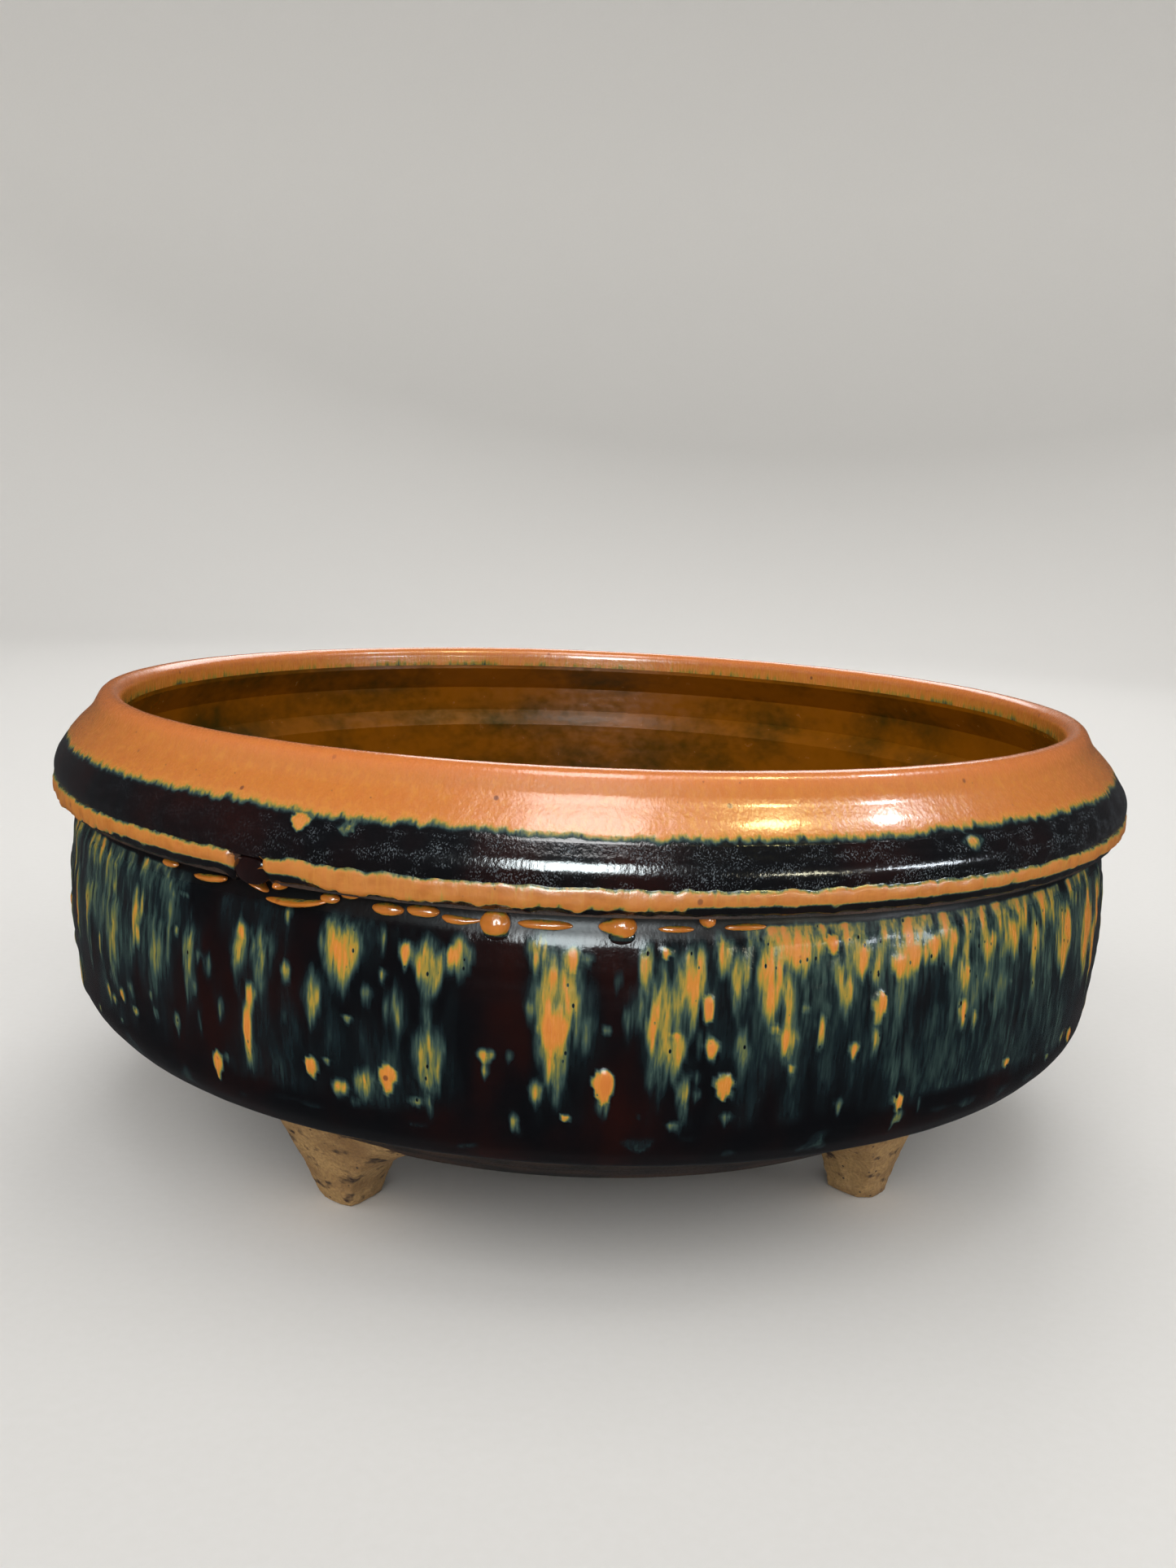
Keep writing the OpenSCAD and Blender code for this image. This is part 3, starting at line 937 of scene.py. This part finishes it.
def piece(
    bm: bmesh.types.BMesh, name: str, material: bpy.types.Material,
    slot: Optional[str] = None, nodes: Sequence[str] = (),
) -> bpy.types.Object:
    """Turn a mesh in millimetres into a piece of the pot.

    Args:
        bm: the mesh, which is freed.
        name: the piece's name.
        material: its finish.
        slot: a material slot's name, which is not recorded; None for something that isn't part of the pot, which is
            then not attached.
        nodes: the frame's nodes that it stands for.

    Returns:
        The object, at the origin, with its place in its mesh.
    """
    bmesh.ops.scale(bm, vec=(MM, MM, MM), verts=bm.verts)
    mesh = bpy.data.meshes.new(name)
    bm.to_mesh(mesh)
    bm.free()
    mesh.shade_smooth()
    mesh.materials.append(material)
    made = bpy.data.objects.new(name, mesh)
    bpy.context.scene.collection.objects.link(made)
    if slot is None:
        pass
    else:
        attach(made, "root")
        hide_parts(*nodes)
    LOG.info("%s: %d faces, stands for %s", name, len(mesh.polygons), ", ".join(nodes) or "nothing")
    return made


def revolve(
    bm: bmesh.types.BMesh, ring: Sequence[bmesh.types.BMVert], edges: Sequence[bmesh.types.BMEdge],
    degrees: float, steps: int, doublings: int = 4,
) -> None:
    """Spin an outline round the pot's axis: one short stretch, which is then doubled until it goes round.

    Args:
        bm: the mesh that holds the outline.
        ring: the outline's points.
        edges: the outline's edges.
        degrees: how far it goes round.
        steps: how many steps it takes, a multiple of 2 to the power of doublings.
        doublings: how often the stretch is doubled.
    """
    stretch = math.radians(degrees) / 2 ** doublings
    bmesh.ops.spin(
        bm, geom=[*ring, *edges], cent=(0, 0, 0), axis=(0, 0, 1), angle=stretch,
        steps=steps // 2 ** doublings, use_merge=False)
    for i in range(doublings):
        copied = bmesh.ops.duplicate(bm, geom=bm.verts[:] + bm.edges[:] + bm.faces[:])
        bmesh.ops.rotate(
            bm, verts=[v for v in copied["geom"] if isinstance(v, bmesh.types.BMVert)], cent=(0, 0, 0),
            matrix=Matrix.Rotation(stretch * 2 ** i, 3, "Z"))
    bmesh.ops.remove_doubles(bm, verts=bm.verts, dist=1e-3)


@dataclass
class TurnedCoat:
    """A coat of glaze turned round the pot's axis, closed on its clay side, and then sculpted."""

    name: str
    path: List[Point]
    sizes: PotSizes
    glazes: GlazeMap
    spacing: float = 0.45
    steps: int = 960
    run_rows: int = 0
    shell: float = 0.58

    def loop(self) -> Tuple[List[Point], List[Point], int]:
        """Draw the section of the coat.

        Returns:
            The closed outline, its outward normals, and how many points are on the glazed side.
        """
        outside = respaced(self.path, self.spacing)
        normals = outward(outside)
        coarse = respaced(self.path, self.spacing * 5)
        inside = [
            (p[0] - n[0] * self.shell, p[1] - n[1] * self.shell)
            for p, n in zip(coarse, outward(coarse))][::-1]
        return outside + inside, normals, len(outside)

    def build(self, material: bpy.types.Material, slot: str, nodes: Sequence[str]) -> bpy.types.Object:
        """Spin the outline, sculpt the glazed side and hand over the piece.

        Args:
            material: the finish.
            slot: a material slot's name, passed on to piece, which does not record it.
            nodes: the frame's nodes that it stands for.

        Returns:
            The finished piece.
        """
        outline, normals, glazed = self.loop()
        bm = bmesh.new()
        row = bm.verts.layers.int.new("row")
        ring = []
        for index, (r, z) in enumerate(outline):
            vert = bm.verts.new(at(0, r, z))
            vert[row] = index + 1
            ring.append(vert)
        edges = [bm.edges.new((a, b)) for a, b in zip(ring, ring[1:] + ring[:1])]
        revolve(bm, ring, edges, FULL_TURN, self.steps)
        bmesh.ops.recalc_face_normals(bm, faces=bm.faces)
        for edge in bm.edges:
            rows = edge.verts[0][row], edge.verts[1][row]
            if rows[0] == rows[1] and rows[0] in (1, glazed):
                edge.smooth = False
        self.sculpt(bm, row, normals, glazed)
        return piece(bm, self.name, material, slot, nodes)

    def sculpt(self, bm: bmesh.types.BMesh, row: bmesh.types.BMLayerItem, normals: List[Point], glazed: int) -> None:
        """Raise the glazed side by the relief and write the melt and warmth on its points.

        Args:
            bm: the spun mesh.
            row: the layer that holds each point's place in the outline, from 1.
            normals: the outward normals of the glazed side.
            glazed: how many points of the outline are on the glazed side.
        """
        melt_layer = bm.verts.layers.float.new("melt")
        warm_layer = bm.verts.layers.float.new("warm")
        for vert in bm.verts:
            index = vert[row] - 1
            if index >= glazed:
                continue
            turn, height = turn_of(vert.co), vert.co.z
            melt = self.melt(turn, height, index, glazed)
            vert[melt_layer] = melt
            vert[warm_layer] = self.glazes.warm(turn, height)
            n_r, n_z = normals[index]
            along = at(turn, n_r, n_z)
            lift = self.glazes.relief(turn, height, melt)
            if self.run_rows:
                left = glazed - 1 - index
                share = clamp(1 - left / self.run_rows)
                lift += 0.3 * ease(0.0, 0.55, share) - 0.72 * ease(0.6, 1.0, share)
                ragged = 0.7 * wander(turn, 0, 3.2, 1, 51.0) + 0.5 * wander(turn, 0, 9, 1, 52.0)
                vert.co += at(turn, -n_z, n_r) * -ragged * ease(0.3, 1.0, share)
            vert.co += along * lift

    def melt(self, turn: float, height: float, index: int, glazed: int) -> float:
        """Return the melt at a point of the glazed side.

        Args:
            turn: place round the pot.
            height: place up the pot.
            index: the point's place in the outline.
            glazed: how many points of the outline are on the glazed side.

        Returns:
            The melt, which dies out in the roll of glaze at the coat's end.
        """
        melt = self.glazes.melt(turn, height)
        if self.run_rows:
            melt *= ease(0, self.run_rows * 0.8, glazed - 1 - index)
        return melt


class RimCoat(TurnedCoat):
    """The orange coat over the lip, which thins to grey streaks inside the throat."""

    INNER_SHARE = 0.72

    def melt(self, turn: float, height: float, index: int, glazed: int) -> float:
        """Return the melt, lower on the inner side of the lip.

        Args:
            turn: place round the pot.
            height: place up the pot.
            index: the point's place in the outline.
            glazed: how many points of the outline are on the glazed side.

        Returns:
            The melt, streaked with grey inside the throat.
        """
        if 1 - index / glazed < self.INNER_SHARE:
            return self.glazes.melt(turn, height)
        s = self.sizes
        fade = ease(s.pot_h - s.coat_in - 0.2, s.pot_h - 1.2, height)
        streak = 0.3 * wander(turn, height, 5, 20, 61.0) + 0.2 * wander(turn, height, 1.4, 8, 62.0)
        return 0.74 + 0.45 * fade + streak * (1 - fade)


@dataclass
class Belt:
    """The clay belt under the shoulder in its thick ragged orange coat, with the joint between its ends."""

    sizes: PotSizes
    glazes: GlazeMap
    start: float = -26.6
    end: float = 330.4
    steps: int = 1440
    corners: int = 30
    depth: float = 2.4
    rise: float = 0.45
    half_w: float = 1.95
    half_t: float = 1.55
    squareness: float = 0.55

    def build(self, material: bpy.types.Material) -> bpy.types.Object:
        """Spin the belt's section round the pot, close its ends and sculpt it.

        Args:
            material: the finish.

        Returns:
            The belt's coat.
        """
        s = self.sizes
        middle = (s.belt_low + s.belt_top) / 2 + self.rise
        seat = s.pot_r - self.depth
        bm = bmesh.new()
        corner = bm.verts.layers.int.new("corner")
        ring = []
        for i in range(self.corners):
            a = math.tau * i / self.corners
            side, up = math.cos(a), math.sin(a)
            out = self.half_t * math.copysign(abs(side) ** self.squareness, side)
            high = self.half_w * math.copysign(abs(up) ** self.squareness, up)
            vert = bm.verts.new(at(self.start, max(seat, s.pot_r - 1.5 + out + 0.2 * up), middle + high))
            vert[corner] = i + 1
            ring.append(vert)
        edges = [bm.edges.new((a, b)) for a, b in zip(ring, ring[1:] + ring[:1])]
        revolve(bm, ring, edges, self.end - self.start, self.steps)
        bmesh.ops.holes_fill(bm, edges=[e for e in bm.edges if e.is_boundary], sides=0)
        bmesh.ops.recalc_face_normals(bm, faces=bm.faces)
        self.sculpt(bm, middle)
        return piece(bm, "belt_coat", material, "orange_glaze", ["belt_glaze"])

    @staticmethod
    def hem(turn: float) -> float:
        """Return how far down the belt the orange glaze comes.

        Args:
            turn: place round the pot.

        Returns:
            1 for the belt's top edge and -1 for its lower edge.
        """
        hem = -0.42 - 0.25 * ease(-22.5, -20.5, turn) * ease(-9, -13, turn)
        hem += 0.34 * ease(0, 14, turn) * ease(80, 60, turn) + 0.3 * ease(-29, -30.5, turn) * ease(-50, -44, turn)
        hem += 0.3 * ease(-20.8, -22.6, turn) * ease(-28, -27, turn)
        return hem + 0.24 * wander(turn, 0, 2.2, 1, 81.0) + 0.14 * wander(turn, 0, 0.9, 1, 82.0)

    def sculpt(self, bm: bmesh.types.BMesh, middle: float) -> None:
        """Make the belt's edges ragged, its face lumpy and its ends round.

        Args:
            bm: the spun belt.
            middle: height of the middle of its face.
        """
        s = self.sizes
        melt_layer = bm.verts.layers.float.new("melt")
        warm_layer = bm.verts.layers.float.new("warm")
        for vert in bm.verts:
            turn = turn_of(vert.co)
            radius, height = math.hypot(vert.co.x, vert.co.y), vert.co.z
            up = (height - middle) / self.half_w
            from_start = math.radians((turn - self.start) % FULL_TURN) * s.pot_r
            from_end = math.radians((self.end - turn) % FULL_TURN) * s.pot_r
            lobes = ease(16, 3, from_start)
            top = 0.42 * wander(turn, 0, 2.6, 1, 71.0) + 0.34 * wander(turn, 0, 1.15, 1, 72.0) + 0.12
            top += (0.6 * wander(turn, 0, 4.2, 1, 73.0) + 0.1) * (0.45 + 0.9 * lobes)
            low = 0.3 * wander(turn, 0, 3.6, 1, 74.0) + 0.16 * wander(turn, 0, 1.3, 1, 75.0)
            edge = min(from_start, from_end)
            share = clamp(edge / (1.6 if from_start < from_end else 0.7))
            close = math.sqrt(max(0.0, 1 - (1 - share) ** 2))
            shift = top * clamp(up) + low * clamp(-up)
            if from_end < 3:
                shift -= 0.9 * ease(3, 0, from_end) * clamp(-up)
            lift = 0.16 * wander(turn, height, 3.2, 2.4, 76.0) + 0.08 * wander(turn, height, 1.3, 1.3, 77.0)
            lift += 0.12 * wander(turn, 0, 14, 1, 78.0) - 0.1 * ease(0.75, 1.0, abs(up))
            hem = self.hem(turn)
            lift -= 0.75 * ease(hem + 0.1, hem - 0.3, up)
            out = (radius - (s.pot_r - self.depth)) * (0.35 + 0.65 * close)
            new_r = s.pot_r - self.depth + out + lift * clamp(out)
            new_z = middle + (height - middle) * (0.45 + 0.55 * close) + shift
            melt = 0.98 - 0.6 * ease(0.52, 1.0, up) - 1.1 * ease(hem, hem - 0.28, up)
            melt += 0.14 * wander(turn, height, 5.0, 2.0, 80.0)
            melt += 0.2 * wander(turn, height, 2.0, 1.0, 79.0) * ease(0.5, 0.9, abs(up))
            vert[melt_layer] = melt
            vert[warm_layer] = 0.3
            vert.co = at(turn, new_r, new_z)


@dataclass(frozen=True)
class Bead:
    """A drop or short run of glaze that froze on the groove."""

    turn: float
    height: float
    length: float
    width: float
    proud: float
    taper: float = 0.0
    bend: float = 0.0
    seat: float = 91.1
    slope: float = 0.0
    melt: float = 1.15


# turn, height, length, width, proud, taper, bend, seat, slope, melt
BEADS = [Bead(*row) for row in (
    (-7.0, 56.3, 3.9, 3.7, 3.2, 0.05, 0, 91.4), (-7.0, 55.0, 3.4, 2.2, 1.5, 0, 0, 91.4, 0, 0.35),
    (2.5, 56.6, 4.9, 3.7, 3.3, 0.35, 0, 91.4), (2.9, 55.2, 3.4, 2.0, 1.4, 0, 0, 91.4, 0, 0.35),
    (-16.0, 56.5, 4.3, 1.7, 1.9), (-13.0, 56.8, 4.4, 1.6, 1.9), (-9.8, 56.3, 5.2, 1.5, 1.7, -0.3, -0.3),
    (-3.1, 56.3, 7.0, 1.3, 1.7), (-19.4, 57.7, 2.6, 1.1, 1.5), (9.6, 57.6, 2.0, 2.4, 2.9, 0.1),
    (-24.2, 56.1, 9.6, 1.0, 2.6, 0.0, -0.5, 91.3, 0.45), (-25.6, 57.9, 1.8, 1.4, 3.4, 0.1, 0, 91.6),
    (-28.6, 57.3, 4.4, 0.9, 2.4, 0.0, 0.2, 91.4, -0.9), (-21.2, 56.9, 2.8, 1.5, 1.9, 0.1, 0, 91.2),
    (-34.0, 56.6, 6.6, 1.3, 2.0, 0.2, -0.2, 91.2, 0.3), (-39.6, 56.9, 3.4, 1.2, 1.5),
    (-28.1, 59.7, 6.4, 4.6, 3.0, 0, 0, 92.4, 0, 0.05), (12.9, 56.4, 5.6, 0.9, 1.1), (7.2, 56.2, 4.6, 0.9, 1.1),
    (74, 56.6, 3.4, 3.3, 2.8), (101, 56.6, 5.0, 1.5, 1.4), (106, 56.8, 3.2, 1.4, 1.5),
    (148, 56.5, 6.5, 1.3, 1.3), (171, 56.4, 3.7, 3.5, 3.0, 0.2), (199, 56.8, 4.4, 1.5, 1.5),
    (206, 56.7, 3.0, 1.4, 1.4), (243, 56.5, 5.4, 1.3, 1.3, 0.2), (262, 56.6, 3.5, 3.2, 2.7),
    (286, 56.7, 4.6, 1.4, 1.5),
)]


@dataclass
class Beads:
    """All the drops and runs of glaze in the groove, as one piece."""

    sizes: PotSizes
    beads: Sequence[Bead]
    segments: int = 36
    rings: int = 22

    def build(self, material: bpy.types.Material) -> bpy.types.Object:
        """Model every bead on the groove.

        Args:
            material: the finish.

        Returns:
            The beads.
        """
        bm = bmesh.new()
        melt_layer = bm.verts.layers.float.new("melt")
        warm_layer = bm.verts.layers.float.new("warm")
        ball = bmesh.new()
        bmesh.ops.create_uvsphere(ball, u_segments=self.segments, v_segments=self.rings, radius=1.0)
        shape = bpy.data.meshes.new("ball")
        ball.to_mesh(shape)
        ball.free()
        for salt, bead in enumerate(self.beads):
            bm.from_mesh(shape)
            for vert in bm.verts[-len(shape.vertices):]:
                x, y, z = vert.co
                lump = 1 + 0.07 * noise.noise(Vector((x, y, z)) * 1.7 + Vector((salt * 3.1, 0, 0)))
                slim = 1 - bead.taper * (1 - x) * 0.9 if bead.taper > 0 else 1 + bead.taper * (1 + x)
                slim = max(0.15, slim)
                side = x * bead.length / 2 * lump
                high = y * bead.width / 2 * slim * lump + bead.bend * (1 - x * x) + bead.slope * x
                deep = z * bead.proud / 2 * slim * lump
                vert[melt_layer] = bead.melt - 0.62 * ease(-0.3, -0.85, y) - 0.5 * ease(0.45, 0.9, y)
                vert[warm_layer] = 0.6
                vert.co = at(bead.turn + math.degrees(side / bead.seat),
                             bead.seat + bead.proud * 0.22 + deep, bead.height + high)
        bpy.data.meshes.remove(shape)
        bmesh.ops.recalc_face_normals(bm, faces=bm.faces)
        return piece(bm, "frozen_drops", material, "orange_glaze", ["glaze_beads"])


@dataclass(frozen=True)
class Foot:
    """A hand-cut foot luted under the pot."""

    TALL = 12.0
    CLEAN_CUT = 0.92
    SUNK = 0.35

    name: str
    tip_w: float
    tip_l: float
    left_flare: float
    right_flare: float
    lean: float
    salt: float
    knife: Tuple[Tuple[float, float, float], ...] = ()
    cuts: int = 30

    def build(self, material: bpy.types.Material) -> bpy.types.Object:
        """Carve the foot out of a block where the frame has it.

        Args:
            material: the finish.

        Returns:
            The foot.
        """
        low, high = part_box(self.name)
        sole = [v.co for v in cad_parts[self.name].data.vertices if v.co.z < low.z + 1e-5]
        middle = sum(sole, Vector()) / len(sole) / MM
        turn, circle = turn_of(middle), math.hypot(middle.x, middle.y)
        base_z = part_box("floor_slab")[0].z / MM
        bm = bmesh.new()
        bmesh.ops.create_cube(bm, size=2.0)
        bmesh.ops.subdivide_edges(bm, edges=bm.edges[:], cuts=self.cuts, use_grid_fill=True)
        for vert in bm.verts:
            vert.co = self.carve(vert.co.copy(), turn, circle, base_z)
        bmesh.ops.smooth_vert(
            bm, verts=bm.verts, factor=0.5, use_axis_x=True, use_axis_y=True, use_axis_z=True)
        bmesh.ops.recalc_face_normals(bm, faces=bm.faces)
        return piece(bm, self.name + "_clay", material, "bare_clay", [self.name])

    def carve(self, cube: Vector, turn: float, circle: float, base_z: float) -> Vector:
        """Return where a point of the block goes.

        Args:
            cube: the point on the block, each part from -1 to 1: x round the pot, y outwards, z up.
            turn: the foot's turn.
            circle: radius of the circle that the feet stand on.
            base_z: height of the flat base.

        Returns:
            The point on the foot, in millimetres.
        """
        up = (cube.z + 1) / 2
        square = max(abs(cube.x), abs(cube.y), 1e-6)
        round_off = 1 - 0.13 * min(abs(cube.x), abs(cube.y)) / square * square
        x, y = cube.x * round_off, cube.y * round_off
        spread = up ** 1.15 * 0.35 + up ** 3.2 * 0.65
        flare = self.left_flare if x < 0 else self.right_flare
        half_w = self.tip_w / 2 + flare * spread
        half_l = self.tip_l / 2 + (self.lean * (0.55 * up + 0.45 * up ** 2.5) if y > 0 else 1.5 * up)
        side, out = x * half_w, y * half_l
        p = Vector((side, out, up * self.TALL))
        for way, tilt, reach in self.knife:
            n = Vector((math.sin(math.radians(way)), math.cos(math.radians(way)), -math.tan(math.radians(tilt))))
            n.normalize()
            over = n.dot(Vector((side, out, up * self.TALL))) - reach
            if over > 0:
                side -= n.x * over * self.CLEAN_CUT
                out -= n.y * over * self.CLEAN_CUT
        soft = 0.3 * noise.noise(p * 0.2 + Vector((self.salt, 0, 0)))
        soft += 0.2 * noise.noise(p * 0.6 + Vector((0, self.salt, 0)))
        soft += 0.1 * noise.noise(p * 1.6 + Vector((0, 0, self.salt)))
        side += x * soft
        out += y * soft
        radius = circle + out
        rise = math.tan(math.radians(PotSizes.undercut))
        ceiling = base_z + max(0.0, radius - PotSizes.base_r) * rise + self.SUNK
        height = up * ceiling
        height += 0.45 * (1 - ease(0.0, 0.16, up)) * (abs(x) ** 6 + abs(y) ** 6) / 2
        return at(turn + math.degrees(side / max(20.0, radius)), radius, height)


FEET = [
    Foot("foot_front_left", 7.6, 8.0, 8.0, 12.5, 7.0, 1.7, ((-38, 30, 3.7), (30, 52, 5.4), (150, 12, 4.6))),
    Foot("foot_front_right", 7.4, 8.0, 8.0, 3.6, 6.0, 5.2, ((-46, 33, 3.0), (52, 16, 4.0), (-140, 10, 4.8))),
    Foot("foot_rear_left", 7.4, 8.4, 5.6, 6.2, 6.4, 8.9, ((-42, 26, 3.6), (36, 30, 3.7))),
    Foot("foot_rear_right", 7.0, 8.0, 6.8, 5.2, 6.6, 12.3, ((-34, 32, 3.4), (48, 24, 3.6))),
]


@dataclass(frozen=True)
class Lamp:
    """A soft flat lamp that faces the pot."""

    AIM = 0.05

    name: str
    turn: float
    elevation: float
    distance: float
    width: float
    height: float
    watts: float
    colour: Colour = (1.0, 1.0, 1.0)
    mirrored: bool = True
    lights: bool = True

    def place(self) -> None:
        """Hang the lamp."""
        data = bpy.data.lights.new(self.name, "AREA")
        data.shape = "RECTANGLE"
        data.size, data.size_y = self.width, self.height
        data.energy = self.watts
        data.color = self.colour
        lamp = bpy.data.objects.new(self.name, data)
        bpy.context.scene.collection.objects.link(lamp)
        e = math.radians(self.elevation)
        away = at(self.turn, math.cos(e), math.sin(e))
        lamp.location = away * self.distance + Vector((0, 0, self.AIM))
        lamp.rotation_euler = (-away).to_track_quat("-Z", "Y").to_euler()
        lamp.visible_glossy = self.mirrored
        lamp.visible_diffuse = self.lights
        LOG.info("lamp %s", self.name)


LAMPS = [
    Lamp("high_window", -1.5, 66, 1.1, 0.36, 0.5, 5, lights=False),
    Lamp("low_window", -2.5, 18, 1.1, 0.38, 0.48, 15, (0.88, 0.98, 1.0), lights=False),
    Lamp("front_soft", -6, 40, 1.3, 1.2, 1.0, 9, mirrored=False),
    Lamp("left_fill", -75, 30, 1.2, 0.9, 0.9, 3.4, mirrored=False),
    Lamp("right_fill", 75, 30, 1.2, 0.9, 0.9, 3.4, mirrored=False),
    Lamp("top_soft", 0, 86, 1.25, 0.9, 0.9, 3.6, mirrored=False),
    Lamp("back_soft", 172, 38, 1.2, 0.8, 0.6, 5),
    Lamp("warm_lamp", 60, 60, 1.1, 0.13, 0.1, 3.0, (1.0, 0.92, 0.4), lights=False),
    Lamp("warm_low", 40, 3, 1.1, 0.16, 0.05, 1.2, (1.0, 0.95, 0.7), lights=False),
    Lamp("cool_lamp", 86, 49, 1.1, 0.12, 0.1, 2.4, (0.93, 0.96, 1.0), lights=False),
    Lamp("cool_low", 64, 4, 1.1, 0.3, 0.05, 2.0, (0.85, 0.92, 1.0), lights=False),
]


@dataclass
class Studio:
    """The camera, lamps, pale floor and backdrop."""

    eye: Tuple[float, float, float] = (-0.4, -257.5, 105.0)
    pitch: float = 10.43
    roll: float = 2.39
    lens: float = 31.6
    sensor: float = 36.0
    near: float = 0.01
    far: float = 20.0
    air: Colour = srgb(150, 150, 152)
    air_strength: float = 0.16
    floor_r: float = 1500.0
    wall_h: float = 1300.0
    cove: float = 500.0

    def camera(self) -> None:
        """Place the camera."""
        data = bpy.data.cameras.new("camera")
        data.lens, data.sensor_width = self.lens, self.sensor
        data.clip_start, data.clip_end = self.near, self.far
        camera = bpy.data.objects.new("camera", data)
        bpy.context.scene.collection.objects.link(camera)
        p, r = math.radians(self.pitch), math.radians(self.roll)
        ahead = Vector((0, math.cos(p), -math.sin(p)))
        level_up = Vector((0, math.sin(p), math.cos(p)))
        right = Vector((1, 0, 0)) * math.cos(r) + level_up * math.sin(r)
        up = level_up * math.cos(r) - Vector((1, 0, 0)) * math.sin(r)
        turned = Matrix((right, up, -ahead)).transposed().to_4x4()
        camera.matrix_world = Matrix.Translation(Vector(self.eye) * MM) @ turned
        bpy.context.scene.camera = camera

    def backdrop(self) -> None:
        """Spin a pale dish: the floor, and the backdrop that rises all round it."""
        edge = self.floor_r - self.cove
        line = [(0.0, 0.0), (edge * 0.3, 0.0)] + arc((edge, self.cove), self.cove, -90, 0)
        line.append((self.floor_r, self.wall_h))
        bm = bmesh.new()
        chain = [bm.verts.new(at(0, r, z)) for r, z in line]
        edges = [bm.edges.new(pair) for pair in zip(chain, chain[1:])]
        bmesh.ops.spin(
            bm, geom=chain + edges, cent=(0, 0, 0), axis=(0, 0, 1), angle=math.tau, steps=96, use_merge=True)
        bmesh.ops.remove_doubles(bm, verts=bm.verts, dist=1e-3)
        bmesh.ops.recalc_face_normals(bm, faces=bm.faces)
        inner = max(bm.faces, key=lambda f: -f.calc_center_median().length)
        if inner.normal.z < 0:
            bmesh.ops.reverse_faces(bm, faces=bm.faces)
        dish = piece(bm, "backdrop", StudioPaper().material())
        dish.visible_glossy = False

    def build(self) -> None:
        """Set up the whole studio."""
        self.camera()
        self.backdrop()
        for lamp in LAMPS:
            lamp.place()
        world = bpy.data.worlds.new("room")
        world.use_nodes = True
        inputs = world.node_tree.nodes["Background"].inputs
        inputs["Color"].default_value = (*self.air, 1.0)
        inputs["Strength"].default_value = self.air_strength
        bpy.context.scene.world = world
        bpy.context.scene.view_settings.view_transform = "Standard"


@dataclass
class Pot:
    """The whole pot: its coats, belt, drops, feet and clay."""

    sizes: PotSizes
    glazes: GlazeMap

    def coats(self) -> None:
        """Model the three outer coats."""
        s, g = self.sizes, self.glazes
        rust, dark = OuterGlaze(Skin.RIM, coat=0.5).material(), OuterGlaze(Skin.SHOULDER).material()
        streaked = OuterGlaze(Skin.WALL, coat=0.0).material()
        thick = OuterGlaze(Skin.BELT, 0.2, 0.36, 0.15).material()
        drop = OuterGlaze(Skin.DROP, 0.12, 0.2, 0.4).material()
        RimCoat("rim_coat", s.rim_path(), s, g, 0.42).build(rust, "orange_glaze", ["rim_glaze"])
        TurnedCoat("shoulder_coat", s.shoulder_path(), s, g, 0.32).build(dark, "black_glaze", ["shoulder_glaze"])
        TurnedCoat("wall_coat", s.wall_path(), s, g, 0.5, run_rows=9).build(
            streaked, "streaked_glaze", ["wall_glaze"])
        Belt(s, g).build(thick)
        Beads(s, BEADS).build(drop)

    def clay(self) -> None:
        """Carve the feet and dress the clay bodies and the lining of the frame."""
        raw = BareClay("raw_clay", 0.12).material()
        washed = BareClay("washed_clay", 0.95).material()
        for foot in FEET:
            foot.build(raw)
        for name in ("wall", "floor_slab", "shoulder_collar", "belt_strip"):
            self.dress(name, washed)
        self.dress("interior_glaze", AmberGlaze().material())

    @staticmethod
    def dress(name: str, material: bpy.types.Material) -> None:
        """Give a node of the frame a finish.

        Args:
            name: the node's name.
            material: its finish.
        """
        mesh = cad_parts[name].data
        for index in range(len(mesh.materials)):
            mesh.materials[index] = material
        if not mesh.materials:
            mesh.materials.append(material)
        LOG.info("%s: finish %s", name, material.name)


def main() -> None:
    """Build the studio and then the pot, piece by piece."""
    logging.basicConfig(level=logging.INFO, format="%(name)s %(message)s")
    Studio().build()
    sizes = PotSizes.from_frame()
    pot = Pot(sizes, GlazeMap(sizes))
    pot.coats()
    pot.clay()


if __name__ == "__main__":
    main()
